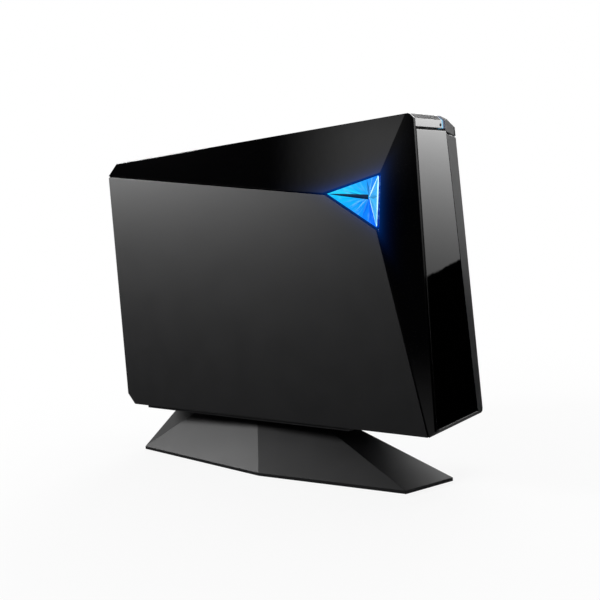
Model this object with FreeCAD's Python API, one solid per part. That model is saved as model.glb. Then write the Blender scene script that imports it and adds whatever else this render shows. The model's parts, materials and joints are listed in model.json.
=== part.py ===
import FreeCAD, Part
import math
import os

# External optical drive standing on a faceted foot. Millimetres, Z up, front towards -Y,
# jewelled side towards -X, origin on the floor under the middle of the case.

# ---- case ----
CASE_W = 63.0
CASE_D = 243.0
CASE_H = 165.0
STAND_H = 32.5
WALL = 2.2
LIP = 1.6
SPLIT_Y = -109.0
GAP = 0.3
DOOR_T = 3.0
DOOR_TOP = 157.0
DOOR_LOW = 3.5
CAP_LOW = 158.0
COLUMN_TOP = 155.2
COLUMN_SLOPE = 0.35
DOOR_EDGE_TOP_X = 3.8
DOOR_EDGE_LOW_X = 15.3
BUTTON_X = 2.9
BUTTON_LOW = 156.2
STRIP_X = -0.3
PINHOLE_H = 159.6
PINHOLE_R = 0.8
REAR_PLATE_Y = 117.8
REAR_PLATE_T = 2.0
PANEL_T = 1.0
PANEL_GROOVE = 0.9
POST_R = 3.4
SCREW_R = 1.5
BORE_R = 1.55
PEG_R = 3.0
HEAD_R = 2.8
THROUGH_R = 1.7
REAR_EDGE_H = 157.4
TOP_BEVEL = (2.8, 2.7)
LOW_BEVEL = (3.2, 3.6)
SIDE_BEVEL = 1.5
CAP_FALL_X = 3.5
CAP_FALL = 3.8

# ---- jewel and rear fittings ----
GEM_ARM = 8.0
GEM_FLARE = 1.16
GEM_DEPTH = 3.6
GEM_FIT = -0.15
PANEL_CLEAR = 1.3
ROCKER_TILT = 8.0
RIBBON_W = 50.8
RIBBON_T = 1.0

# ---- drive inside the case ----
DRIVE_TOP_X = -22.0
DRIVE_LOW_X = 19.3
DRIVE_W = 146.0
DRIVE_FRONT_Y = -109.0
DRIVE_BACK_Y = 58.0
SHEET = 0.8
PRESSED = 0.6
DRIVE_HOLES_Y = (-57.0, 22.0)
DRIVE_HOLE_X = 9.3
DECK = (-2.2, 0.0)
AXLE_X = (-6.9, -2.0)
CHANNEL_HALF = 65.1
GUIDE_X = (-16.5, -14.1)
FRAME_Y = (-107.0, 56.0)

# ---- disc tray ----
DISC_Y = -46.0
RECESS_R = 61.0
SMALL_RECESS_R = 41.0
TRAY_W = 129.0
TRAY_FRONT_Y = -112.3
TRAY_BACK_Y = 56.0
RAIL_HALF = 1.1
TRAY_RIM_X = -13.5
TRAY_FLOOR_X = -10.0
TRAY_STEP_X = -9.0
TRAY_UNDER_X = -7.2
SLOT_R = 19.0

# ---- gears ----
PRESSURE = math.radians(20.0)
RACK_MODULE = 1.0
RACK_TEETH = 18
RACK_COUNT = 48
TRAIN_MODULE = 0.8
WHEEL_TEETH = 40
PINION_TEETH = 14
ADDENDUM = 0.8
DEDENDUM = 1.05
BACKLASH = 0.16
LAYER_A = (-6.9, -4.9)
LAYER_B = (-4.6, -2.6)
PULLEY_R = 9.3
MOTOR_PULLEY_R = 3.0
BELT_R = 0.6
PIN_PITCH = 2.54

# ---- traverse ----
HINGE_X = 4.0
HINGE_Y = 46.0
ROD_X = -2.5
ROD_R = 1.5
LEAD_X = -3.6
LEAD_R = 1.1
SCREW_PITCH = 3.0
PIN_X = 4.0
SLIDE_TRAVEL = 24.0
TILT = math.radians(5.5)
PIN_Y = -62.0

HALF_W = CASE_W / 2
HALF_D = CASE_D / 2
Z0 = STAND_H
Z1 = STAND_H + CASE_H
MID_Z = STAND_H + CASE_H / 2
REAR_FACE = REAR_PLATE_Y + REAR_PLATE_T
DRIVE_Z0 = MID_Z - DRIVE_W / 2
DRIVE_Z1 = MID_Z + DRIVE_W / 2
INNER_X = HALF_W - WALL
FAR = 600.0

RACK_R = RACK_MODULE * RACK_TEETH / 2
WHEEL_R = TRAIN_MODULE * WHEEL_TEETH / 2
PINION_R = TRAIN_MODULE * PINION_TEETH / 2
WHEEL_Y, WHEEL_Z = -92.0, MID_Z - 35.0
PINION_ANGLE = math.radians(35.0)
PINION_Y = WHEEL_Y + (WHEEL_R + PINION_R) * math.sin(PINION_ANGLE)
PINION_Z = WHEEL_Z + (WHEEL_R + PINION_R) * math.cos(PINION_ANGLE)
MOTOR_Y, MOTOR_Z = -86.0, MID_Z + 24.0

# ---- outer form: corners of the facets ----
# The two facets of the jewelled side meet the flat side at APEX.
APEX = (-HALF_W, -93.1, Z0 + 124.8)
REAR_CREASE = (-HALF_W, HALF_D, Z0 + REAR_EDGE_H)
FRONT_CREASE = (-HALF_W, -117.9, Z0)
TOP_CORNER = (-28.9, -117.0, Z1)
GEM_REACH = ((REAR_CREASE, 28.2), (TOP_CORNER, 12.8), (FRONT_CREASE, 16.7))

# ---- places of posts, screws and feet ----
POSTS = [(-98.0, Z0 + 5.9), (-98.0, Z1 - 5.9), (104.0, Z0 + 12.0), (106.0, Z1 - 12.0)]
CRADLE_POSTS = [(y, MID_Z + dz) for y in (-62.0, 34.0) for dz in (-46.0, 46.0)]
PEGS = [(x, y) for x in (-10.0, 10.0) for y in (-10.0, 40.0)]
FEET = [(y, MID_Z + dz) for y in (-92.0, 98.0) for dz in (-62.0, 62.0)]
SWITCH_Z = Z0 + 128.0
ROCKER_Y = REAR_FACE - 3.2
USB_Z = Z0 + 92.0
JACK_Z = Z0 + 110.0
LOCK_Z = Z0 + 26.0
RIBBON_Z = Z0 + 57.5
REAR_SCREWS = [(x, z) for x in (-22.0, 23.0) for z in (Z0 + 15, Z1 - 17)]

# ---- places inside the drive ----
FRAME_Z = (MID_Z - 70.8, MID_Z + 70.8)
TRAVERSE_Z = (MID_Z - 36.0, MID_Z + 36.0)
RODS_Z = (MID_Z - 21.0, MID_Z + 19.0)
SCREW_Z = MID_Z + 26.5
PIN_Z = (MID_Z - 15.0, MID_Z + 15.0)
DROP = (HINGE_Y - PIN_Y) * math.sin(TILT)
CAM_Y = (-67.5, -64.0)
CAM_SLOT_R = 1.95
CORNERS = [(y, MID_Z + s * 30.5) for y in (-54.0, 34.0) for s in (-1, 1)]
SLED_Y = (-30.4, -6.4)
LENS_Y = -22.0

# ---- stand: rim outline, heights and corners of the upper facets ----
RIM = [
    (-27.5, 113.0), (-39.5, -4.0), (-29.5, -100.0),
    (0.0, -111.5), (39.5, -4.0), (27.5, 113.0),
]
RIM_H = 1.9
FOOT_H = 0.3
PAD_T = 1.2
PAD_R = 6.0
PLATE_Z = (STAND_H - 2.0, STAND_H)
RIDGE = (0.0, -55.6, 21.5)
LEFT_TOP = (-15.0, 16.0, 30.5)
RIGHT_TOP = (15.0, 16.0, 30.5)
BACK_TOP = (0.0, 98.5, 30.5)
BACK_SIDE_TOP = (9.7, 67.4, 30.5)
STAND_SCREWS = [(0.0, 44.0), (0.0, 2.0)]
STAND_FEET = [(-20.0, 98.0), (20.0, 98.0), (-20.0, -88.0), (17.0, -24.0)]

V = FreeCAD.Vector


# ---- basic shapes ----
def box(x, y, z):
    """Box between the two values of each of x, y and z."""
    return Part.makeBox(x[1] - x[0], y[1] - y[0], z[1] - z[0], V(x[0], y[0], z[0]))


def rod_x(x, y, z, r):
    """Round bar along X."""
    return Part.makeCylinder(r, x[1] - x[0], V(x[0], y, z), V(1, 0, 0))


def rod_y(x, y, z, r):
    """Round bar along Y."""
    return Part.makeCylinder(r, y[1] - y[0], V(x, y[0], z), V(0, 1, 0))


def rod_z(x, y, z, r):
    """Round bar along Z."""
    return Part.makeCylinder(r, z[1] - z[0], V(x, y, z[0]), V(0, 0, 1))


def tube_x(x, y, z, r, bore):
    """Round tube along X."""
    return rod_x(x, y, z, r).cut(rod_x((x[0] - 1, x[1] + 1), y, z, bore))


def prism(points, direction):
    """Solid swept from a flat outline."""
    loop = [V(*p) for p in points]
    return Part.Face(Part.makePolygon(loop + loop[:1])).extrude(V(*direction))


def join(shapes):
    """Union of a list of solids."""
    first = shapes[0]
    return first.fuse(shapes[1:]).removeSplitter() if len(shapes) > 1 else first


def group(shapes):
    """Several separate solids kept together."""
    return Part.makeCompound(shapes)


def turned(profile, y, z):
    """Solid of revolution about an X line through y, z from (x, radius) pairs."""
    loop = [V(x, y, z + r) for x, r in profile]
    return Part.Face(Part.makePolygon(loop + loop[:1])).revolve(V(0, y, z), V(1, 0, 0), 360)


def outside(point, normal):
    """Everything on the outer side of a plane."""
    slab = Part.makeBox(2 * FAR, 2 * FAR, FAR, V(-FAR, -FAR, 0))
    turn = FreeCAD.Rotation(V(0, 0, 1), normal)
    slab.Placement = FreeCAD.Placement(point, turn)
    return slab


def plane(p, q, r, outward):
    """Point and unit normal of the plane through three points."""
    a, b, c = V(*p), V(*q), V(*r)
    n = (b - a).cross(c - a)
    n.normalize()
    return (a, n if n.dot(V(*outward)) > 0 else n * -1)


# ---- outer form ----
UPPER_FACET = plane(APEX, REAR_CREASE, TOP_CORNER, (0, 0, 1))
FRONT_FACET = plane(APEX, FRONT_CREASE, TOP_CORNER, (0, -1, 0))
COLUMN = plane(
    (DOOR_EDGE_TOP_X, -HALF_D, Z0 + DOOR_TOP),
    (DOOR_EDGE_LOW_X, -HALF_D, Z0 + DOOR_LOW),
    (HALF_W, -HALF_D + COLUMN_SLOPE * (HALF_W - DOOR_EDGE_TOP_X), Z0 + DOOR_TOP),
    (1, -1, 0),
)


def bevel_x(y0, z0, y1, z1, outward):
    """Bevel plane along X through two (y, z) points."""
    return plane((0, y0, z0), (0, y1, z1), (9, y1, z1), outward)


def bevel_y(x0, z0, x1, z1, outward):
    """Bevel plane along Y through two (x, z) points."""
    return plane((x0, 0, z0), (x1, 0, z1), (x1, 9, z1), outward)


CAP_SLOPE = plane(
    (CAP_FALL_X, TOP_BEVEL[1] - HALF_D, Z1),
    (HALF_W, 10.2 - HALF_D, Z1 - CAP_FALL),
    (HALF_W, 19.8 - HALF_D, Z1),
    (1, -1, 1),
)
BEVELS = [
    bevel_x(HALF_D, Z0 + REAR_EDGE_H, 112.3, Z1, (0, 1, 1)),
    bevel_x(HALF_D, Z0 + 7.0, 115.0, Z0, (0, 1, -1)),
    bevel_x(-HALF_D, Z1 - TOP_BEVEL[0], TOP_BEVEL[1] - HALF_D, Z1, (0, -1, 1)),
    bevel_x(-HALF_D, Z0 + LOW_BEVEL[0], LOW_BEVEL[1] - HALF_D, Z0, (0, -1, -1)),
    bevel_y(HALF_W - SIDE_BEVEL, Z1, HALF_W, Z1 - SIDE_BEVEL, (1, 0, 1)),
    bevel_y(HALF_W - SIDE_BEVEL, Z0, HALF_W, Z0 + SIDE_BEVEL, (1, 0, -1)),
    CAP_SLOPE,
    COLUMN,
]


def case_form(inset=0.0, left=None):
    """Closed outer form of the case, moved inward by inset, and by left on the jewelled side."""
    left = inset if left is None else left
    form = box(
        (-HALF_W + left, HALF_W - inset), (-HALF_D + inset, HALF_D - inset), (Z0 + inset, Z1 - inset)
    )
    for point, normal in BEVELS:
        form = form.cut(outside(point - normal * inset, normal))
    for point, normal in (UPPER_FACET, FRONT_FACET):
        form = form.cut(outside(point - normal * left, normal))
    return form


def edge_x(z):
    """X of the slanted edge between door and column at a height above the case bottom."""
    run = (DOOR_TOP - z) / (DOOR_TOP - DOOR_LOW)
    return DOOR_EDGE_TOP_X + run * (DOOR_EDGE_LOW_X - DOOR_EDGE_TOP_X)


def door_outline(gap):
    """Corners of the door in X and Z, shrunk by gap all round."""
    low, high = DOOR_LOW + gap, DOOR_TOP - gap
    left_low, left_high = -HALF_W + 2.6 + gap, TOP_CORNER[0] + 2.2 + gap
    return [
        (left_low, Z0 + low), (edge_x(low) - gap, Z0 + low),
        (edge_x(high) - gap, Z0 + high), (left_high, Z0 + high),
    ]


def front_band(y0, y1):
    """Slab across the whole case between two Y values."""
    return box((-FAR, FAR), (y0, y1), (-FAR, FAR))


# ---- outer covers ----
def rear_opening(gap):
    """Block that fills the opening for the rear plate."""
    return box(
        (-26.5 + gap, 27.5 - gap), (REAR_PLATE_Y - 4, FAR), (Z0 + 9.5 + gap, Z1 - 11.5 - gap)
    )


def panel_form(gap, depth):
    """Slab under the flat side, bounded by the two creases."""
    slab = box((-HALF_W, -HALF_W + depth), (-HALF_D, HALF_D), (Z0, Z1))
    for point, normal in (UPPER_FACET, FRONT_FACET):
        across = V(0, normal.y, normal.z)
        across.normalize()
        slab = slab.cut(outside(V(*APEX) - across * gap, across))
    return slab.common(case_form())


def gem_corners():
    """The jewel's three corners, one along each crease from the apex."""
    corners = []
    for far_end, reach in GEM_REACH:
        step = V(*far_end) - V(*APEX)
        step.normalize()
        corners.append(V(*APEX) + step * reach)
    return corners


def gem_prism(grow, x0, x1):
    """Triangular bar through the jewel, grown outward by a margin."""
    corners = gem_corners()
    middle = (corners[0] + corners[1] + corners[2]) * (1 / 3)
    loop = []
    for corner in corners:
        arm = V(0, corner.y - middle.y, corner.z - middle.z)
        scale = 1 + grow / GEM_ARM
        loop.append((x0, middle.y + arm.y * scale, middle.z + arm.z * scale))
    return prism(loop, (x1 - x0, 0, 0))


def gem_bevel():
    """Sloping sides cut into the cover round the jewel."""
    inner, outer = [], []
    corners = gem_corners()
    middle = (corners[0] + corners[1] + corners[2]) * (1 / 3)
    for corner in corners:
        arm = V(0, corner.y - middle.y, corner.z - middle.z)
        inner.append(V(-HALF_W + 3.0, middle.y + arm.y, middle.z + arm.z))
        outer.append(V(-HALF_W - 1.0, middle.y + arm.y * GEM_FLARE, middle.z + arm.z * GEM_FLARE))
    faces = [Part.Face(Part.makePolygon(loop + loop[:1])) for loop in (inner, outer)]
    for index in range(3):
        after = (index + 1) % 3
        loop = [inner[index], inner[after], outer[after], outer[index]]
        faces.append(Part.Face(Part.makePolygon(loop + loop[:1])))
    return Part.Solid(Part.makeShell(faces))


def left_cover():
    """Cover on the jewelled side: gloss facets, recess for the flat panel, jewel opening."""
    shell = case_form().cut(case_form(WALL)).cut(box((0, FAR), (-FAR, FAR), (-FAR, FAR)))
    lip = case_form().cut(case_form(0.0, LIP)).common(front_band(-FAR, SPLIT_Y))
    body = shell.common(front_band(SPLIT_Y, FAR)).fuse(lip)
    body = body.cut(rear_opening(0.0)).cut(panel_form(0.0, PANEL_T))
    posts = [rod_x((-INNER_X - 0.1, 11.9), y, z, POST_R) for y, z in POSTS]
    bed = box((-INNER_X - 0.1, -INNER_X + 1.6), (-104, -60), (Z0 + 104, Z0 + 142))
    inside = case_form(WALL - 0.1)
    body = body.fuse([post.common(inside) for post in posts + [bed]])
    for y, z in POSTS:
        body = body.cut(rod_x((-10, 12), y, z, BORE_R))
    for x, y in PEGS:
        body = body.cut(rod_z(x, y, (Z0 - 1, Z0 + 6), PEG_R + 0.3))
    return body.cut(gem_prism(0.0, -FAR, 0)).cut(gem_bevel()).removeSplitter()


def right_cover():
    """Plain cover on the other side, with the long screw posts and cradle posts."""
    shell = case_form().cut(case_form(WALL)).common(box((0.05, FAR), (SPLIT_Y, FAR), (-FAR, FAR)))
    posts = [rod_x((12.0, INNER_X + 0.1), y, z, POST_R) for y, z in POSTS]
    posts += [rod_x((21.5, INNER_X + 0.1), y, z, 4.0) for y, z in CRADLE_POSTS]
    posts.append(box((23.0, INNER_X + 0.1), (SPLIT_Y, SPLIT_Y + 1.6), (Z1 - 8, Z1 - 2)))
    body = shell.fuse(posts).cut(rear_opening(0.0))
    for y, z in POSTS:
        body = body.cut(rod_x((0, FAR), y, z, THROUGH_R)).cut(rod_x((29.4, FAR), y, z, 3.1))
    for y, z in CRADLE_POSTS:
        body = body.cut(rod_x((21, 28), y, z, BORE_R))
    for y, z in FEET:
        body = body.cut(rod_x((30.7, FAR), y, z, 6.2))
    for x, y in PEGS:
        body = body.cut(rod_z(x, y, (Z0 - 1, Z0 + 6), PEG_R + 0.3))
    for step in range(-4, 5):
        z = MID_Z + step * 9.0
        body = body.cut(box((20, FAR), (62, 94), (z - 1.2, z + 1.2)))
    return body.removeSplitter()


def side_panel():
    """Textured flat inlay of the jewelled side, with a groove along both creases."""
    slab = panel_form(PANEL_GROOVE, PANEL_T)
    return slab.cut(gem_prism(PANEL_CLEAR, -FAR, 0)).removeSplitter()


def front_bezel():
    """Front frame: door recess, tray opening and the slanted column on the right."""
    body = case_form(0.0, LIP + 0.1).common(front_band(-FAR, SPLIT_Y - 0.1))
    body = body.cut(box((-FAR, FAR), (-FAR, FAR), (Z0 + COLUMN_TOP, FAR)).cut(
        box((-FAR, BUTTON_X), (-FAR, FAR), (-FAR, Z0 + CAP_LOW - 0.6))))
    recess = [(x, -FAR, z) for x, z in door_outline(0.0)]
    body = body.cut(prism(recess, (0, FAR - HALF_D + DOOR_T + 0.3, 0)))
    body = body.cut(box((-19.0, 0.0), (-FAR, FAR), (MID_Z - 71, MID_Z + 71)))
    body = body.cut(box((-26.0, 22.5), (-114.9, FAR), (Z0 + 6, Z0 + 152.5)))
    body = body.cut(box((-26.0, 22.5), (-112.4, FAR), (Z0 + 6, Z0 + 155.9)))
    body = body.cut(box((10.1, 16.9), (-115.6, FAR), (Z0 + 144.5, FAR)))
    ledge = case_form(0.5).common(
        box((24.0, FAR), (-FAR, SPLIT_Y - 0.1), (Z0 + COLUMN_TOP - 0.1, Z0 + BUTTON_LOW - 0.2)))
    return body.fuse(ledge).removeSplitter()


def top_block(x0, x1, back):
    """Piece of the case's top front corner between two X values."""
    zone = box((x0, x1), (-FAR, back), (Z0 + CAP_LOW, FAR))
    return case_form(0.0, LIP + 0.1).common(zone)


def top_cap():
    """Cap over the door with the small hole for freeing a stuck tray."""
    cap = top_block(-FAR, STRIP_X - 0.1, SPLIT_Y - 0.1)
    cap = cap.cut(box((-26.5, STRIP_X - 6), (-118.5, FAR), (-FAR, Z1 - 2)))
    hole = rod_y(STRIP_X - 1.6, (-FAR, FAR), Z0 + PINHOLE_H, PINHOLE_R)
    return cap.cut(hole)


def status_light():
    """Clear strip between cap and button."""
    strip = top_block(STRIP_X, BUTTON_X - 0.3, -112.0)
    return strip.fuse(box((STRIP_X, BUTTON_X - 0.3), (-115, -110), (Z0 + CAP_LOW, Z0 + CAP_LOW + 4)))


def eject_button():
    """Wedge button over the column, with the arm that reaches the drive's own key."""
    cap = case_form().common(box((BUTTON_X, FAR), (-FAR, -110.4), (Z0 + BUTTON_LOW, FAR)))
    cap = cap.cut(box((8, HALF_W - 2), (-FAR, FAR), (Z0, Z1 - 2)).common(front_band(-113.2, FAR)))
    cap = cap.cut(box((-FAR, DOOR_EDGE_TOP_X + 0.2), (-FAR, FAR), (-FAR, Z0 + DOOR_TOP + 0.3)))
    arm = box((10.6, 16.4), (-115.1, -113.2), (Z0 + 146, Z0 + COLUMN_TOP + 5))
    tip = rod_y(14.0, (-113.4, -112.95), Z0 + 149, 1.6)
    return join([cap, arm, tip])


def button_spring():
    """Small coil behind the button arm."""
    coil = Part.makeHelix(0.9, 3.6, 1.4)
    ring = Part.Wire(Part.makeCircle(0.2, V(1.4, 0, 0), V(0, 1, 0)))
    spring = Part.Wire(coil.Edges).makePipeShell([ring], True, True)
    spring.rotate(V(0, 0, 0), V(1, 0, 0), -90)
    spring.translate(V(26.0, -112.9, Z1 - 4.6))
    return spring


# ---- jewel ----
def gem_lens():
    """Clear corner whose three faces carry on the planes of the case."""
    return case_form().common(gem_prism(GEM_FIT, -HALF_W - 1, -HALF_W + GEM_DEPTH))


def gem_reflector():
    """Shallow dish with raised rays behind the jewel."""
    front = -HALF_W + GEM_DEPTH + 0.1
    plate = gem_prism(GEM_FIT, front, front + 1.0)
    centre = V(front, APEX[1], APEX[2])
    rays = []
    for index in range(24):
        turn = math.radians(index * 15.0)
        out = V(0, math.cos(turn), math.sin(turn))
        side = V(0, -math.sin(turn), math.cos(turn))
        near, tip = centre + out * 1.4, centre + out * 30.0
        corners = [near - side * 0.1, tip - side * 1.3, tip + side * 1.3, near + side * 0.1]
        loop = [tuple(corner) for corner in corners]
        rays.append(prism(loop, (0.5, 0, 0)))
    return plate.cut(join(rays))


def led_board():
    """Board behind the jewel with its lamp."""
    board = box((-HALF_W + 5.9, -HALF_W + 7.1), (-103, -62), (Z0 + 106, Z0 + 139))
    lamp = box((-HALF_W + 4.9, -HALF_W + 5.9), (-88.5, -84.5), (Z0 + 122, Z0 + 126))
    plug = box((-HALF_W + 7.1, -HALF_W + 8.9), (-78, -68), (Z0 + 110, Z0 + 115))
    return join([board, lamp, plug])


# ---- rear ----
def rear_panel():
    """Rear plate with vents, lock slot and the openings for switch and sockets."""
    plate = box((-26.2, 27.2), (REAR_PLATE_Y, REAR_PLATE_Y + REAR_PLATE_T), (Z0 + 9.8, Z1 - 11.8))
    cuts = [box((-8.1, 3.1), (-FAR, FAR), (USB_Z - 6.1, USB_Z + 6.1))]
    cuts.append(box((-8.1, 3.1), (-FAR, FAR), (JACK_Z - 5.6, JACK_Z + 5.6)))
    cuts.append(box((-7.6, 2.6), (-FAR, FAR), (SWITCH_Z - 7.6, SWITCH_Z + 7.6)))
    cuts.append(box((-3.5, 3.5), (-FAR, FAR), (LOCK_Z - 1.5, LOCK_Z + 1.5)))
    for step in range(7):
        z = Z0 + 36 + step * 6.0
        cuts.append(box((-20, 20), (-FAR, FAR), (z - 1.2, z + 1.2)))
    for x in (-22.0, 23.0):
        cuts.append(rod_y(x, (-FAR, FAR), Z0 + 15, 1.6))
        cuts.append(rod_y(x, (-FAR, FAR), Z1 - 17, 1.6))
    return plate.cut(cuts)


def rear_ribs():
    """Frame behind the rear plate that its screws bite into."""
    frame = box((-28.4, 29.2), (113.0, REAR_PLATE_Y - 0.05), (Z0 + 9.9, Z1 - 11.9))
    frame = frame.cut(box((-18.5, 19.5), (-FAR, FAR), (Z0 + 20.5, Z1 - 23)))
    frame = frame.common(case_form(WALL + 0.1))
    for y, z in POSTS[2:]:
        frame = frame.cut(rod_x((-FAR, FAR), y, z, POST_R + 0.5))
    for x, z in REAR_SCREWS:
        frame = frame.cut(rod_y(x, (112, FAR), z, BORE_R))
    return frame.removeSplitter()


def pan_screw_y(x, y, z):
    """Round-head screw whose head faces the rear."""
    head = rod_y(x, (y, y + 1.6), z, HEAD_R)
    shank = rod_y(x, (y - 5.0, y), z, 1.5)
    slot = box((x - 2.0, x + 2.0), (y + 0.9, FAR), (z - 0.4, z + 0.4))
    cross = box((x - 0.4, x + 0.4), (y + 0.9, FAR), (z - 2.0, z + 2.0))
    return head.fuse(shank).cut([slot, cross])


def rear_screws():
    """Screws of the rear plate."""
    return group([pan_screw_y(x, REAR_PLATE_Y + REAR_PLATE_T, z) for x, z in REAR_SCREWS])


def switch_housing():
    """Frame of the mains switch."""
    body = box((-7.5, 2.5), (REAR_FACE - 14, REAR_FACE), (SWITCH_Z - 7.5, SWITCH_Z + 7.5))
    flange = box((-8.5, 3.5), (REAR_FACE, REAR_FACE + 0.6), (SWITCH_Z - 8.5, SWITCH_Z + 8.5))
    well = box((-6.3, 1.3), (REAR_FACE - 9, FAR), (SWITCH_Z - 6.7, SWITCH_Z + 6.7))
    pivot = rod_x((-6.9, 1.9), ROCKER_Y, SWITCH_Z, 0.85)
    return body.fuse(flange).cut([well, pivot])


def power_switch():
    """Rocker with its two faces at an angle, standing in the off position."""
    loop = [(-1.4, -6.1), (3.8, -6.1), (2.8, 0.0), (3.8, 6.1), (-1.4, 6.1)]
    body = prism([(-6.1, ROCKER_Y + y, SWITCH_Z + z) for y, z in loop], (7.2, 0, 0))
    body = body.fuse(rod_x((-6.8, 1.8), ROCKER_Y, SWITCH_Z, 0.8))
    body.rotate(V(0, ROCKER_Y, SWITCH_Z), V(1, 0, 0), -ROCKER_TILT)
    return body


def dc_jack():
    """Round low-voltage socket with its centre pin."""
    body = box((-8.0, 3.0), (REAR_FACE - 14, REAR_FACE + 0.4), (JACK_Z - 5.5, JACK_Z + 5.5))
    body = body.cut(rod_y(-2.5, (REAR_FACE - 11, FAR), JACK_Z, 3.2))
    return body.fuse(rod_y(-2.5, (REAR_FACE - 12, REAR_FACE - 1), JACK_Z, 1.0))


def usb_socket():
    """Nearly square data socket with a sheet-metal shell and a tongue."""
    body = box((-8.0, 3.0), (REAR_FACE - 15, REAR_FACE + 0.6), (USB_Z - 6.0, USB_Z + 6.0))
    bay = box((-7.4, 2.4), (REAR_FACE - 13, FAR), (USB_Z - 5.4, USB_Z + 5.4))
    for z in (USB_Z - 6.0, USB_Z + 6.0):
        corner = prism([(-8.1, 100, z - 1.6), (-6.3, 100, z), (-8.1, 100, z + 1.6)], (0, 30, 0))
        body = body.cut(corner)
        bay = bay.cut(prism([(-8.1, 100, z - 2.2), (-5.6, 100, z), (-8.1, 100, z + 2.2)], (0, 30, 0)))
    tongue = box((-4.2, -0.9), (REAR_FACE - 14, REAR_FACE - 1), (USB_Z - 2.8, USB_Z + 2.8))
    return body.cut(bay).fuse(tongue)


def bridge_board():
    """Board that turns the drive's bus into the outside data socket."""
    board = box((3.1, 4.7), (68, 119.5 - 6.7), (Z0 + 30, Z0 + 142))
    board = board.fuse(box((3.1, 4.7), (112, 117.5), (Z0 + 84, Z0 + 118)))
    for y, z in ((71.5, Z0 + 34), (71.5, Z0 + 138), (108, Z0 + 34)):
        board = board.cut(rod_x((0, 9), y, z, 1.6))
    return board


def bridge_parts():
    """Chips, capacitors and the bus header on the board."""
    parts = [box((1.5, 3.1), (80, 94), (Z0 + 96, Z0 + 110))]
    parts.append(box((1.9, 3.1), (84, 92), (Z0 + 66, Z0 + 76)))
    header = box((-5.5, 3.1), (70, 79), (Z0 + 54, Z0 + 112))
    parts.append(header.cut(box((-6, 1.5), (71.5, 77.5), (Z0 + 56, Z0 + 110))))
    for y, z in ((98, Z0 + 126), (90, Z0 + 126), (98, Z0 + 74)):
        parts.append(rod_x((-6.0, 3.1), y, z, 3.2))
    for step in range(5):
        z = Z0 + 40 + step * 4.5
        parts.append(box((2.3, 3.1), (97, 99), (z, z + 3)))
    return group(parts)


def bus_cable():
    """Flat ribbon from the back of the drive to the board's header."""
    path = [
        (7.5, 59.2), (7.5, 63.5), (4.0, 66.0), (-8.0, 66.0),
        (-10.5, 69.0), (-10.5, 72.5), (-8.0, 74.5), (-3.0, 74.5),
    ]
    segments = []
    for (x0, y0), (x1, y1) in zip(path, path[1:]):
        run = math.hypot(x1 - x0, y1 - y0)
        dx = (y1 - y0) / run * RIBBON_T / 2
        dy = -(x1 - x0) / run * RIBBON_T / 2
        loop = [(x0 + dx, y0 + dy), (x1 + dx, y1 + dy), (x1 - dx, y1 - dy), (x0 - dx, y0 - dy)]
        segments.append(prism([(x, y, RIBBON_Z) for x, y in loop], (0, 0, RIBBON_W)))
        segments.append(rod_z(x1, y1, (RIBBON_Z, RIBBON_Z + RIBBON_W), RIBBON_T / 2))
    plug = box((-5.3, -2.0), (71.7, 77.3), (Z0 + 56.2, Z0 + 109.8))
    return join(segments + [plug])


# ---- case hardware ----
def flat_screw_x(head_x, tip_x, y, z, r=SCREW_R):
    """Flat-head screw along X with a cross recess, head towards +X."""
    head = rod_x((head_x, head_x + 1.4), y, z, 2.9)
    shank = rod_x((tip_x, head_x), y, z, r)
    slot = box((head_x + 0.7, FAR), (y - 1.9, y + 1.9), (z - 0.4, z + 0.4))
    cross = box((head_x + 0.7, FAR), (y - 0.4, y + 0.4), (z - 1.9, z + 1.9))
    return head.fuse(shank).cut([slot, cross])


def cover_screws():
    """Long screws that pull both covers together."""
    return group([flat_screw_x(29.45, 3.0, y, z) for y, z in POSTS])


def case_feet():
    """Rubber pads on the side the drive can also lie on."""
    pads = []
    for y, z in FEET:
        pads.append(turned([(30.75, 0), (30.75, 6.1), (32.2, 6.1), (32.9, 5.2), (32.9, 0)], y, z))
    return group(pads)


def drive_cradle():
    """Bent sheet that holds the drive by its sides."""
    sheet = box((20.2, 21.4), (-74, 52), (DRIVE_Z0 - 2.0, DRIVE_Z1 + 2.0))
    sheet = sheet.cut(box((20, 22), (-48, 20), (MID_Z - 50, MID_Z + 50)))
    flanges = []
    for z0 in (DRIVE_Z0 - 2.0, DRIVE_Z1 + 0.8):
        flanges.append(box((-4, 21.4), (-64, -34), (z0, z0 + 1.2)))
        flanges.append(box((-4, 21.4), (8, 38), (z0, z0 + 1.2)))
    body = join([sheet] + flanges)
    for y, z in CRADLE_POSTS:
        body = body.cut(rod_x((19, 23), y, z, THROUGH_R))
    for y in DRIVE_HOLES_Y:
        body = body.cut(rod_z(DRIVE_HOLE_X, y, (0, FAR), THROUGH_R))
    return body


def cradle_screws():
    """Screws that hold the cradle to the cover's posts."""
    screws = []
    for y, z in CRADLE_POSTS:
        head = rod_x((19.5, 20.15), y, z, HEAD_R).cut(box((19, 19.9), (y - 2, y + 2), (z - 0.4, z + 0.4)))
        screws.append(head.fuse(rod_x((20.1, 26.5), y, z, SCREW_R)))
    return group(screws)


def drive_screws():
    """Short screws through the cradle into the drive's sides."""
    screws = []
    for y in DRIVE_HOLES_Y:
        for side in (-1, 1):
            z_face = MID_Z + side * (DRIVE_W / 2 + 2.05)
            ends = sorted((z_face, z_face + side * 1.4))
            head = rod_z(DRIVE_HOLE_X, y, ends, HEAD_R)
            ends = sorted((z_face, z_face - side * 3.9))
            screws.append(head.fuse(rod_z(DRIVE_HOLE_X, y, ends, SCREW_R)))
    return group(screws)


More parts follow.
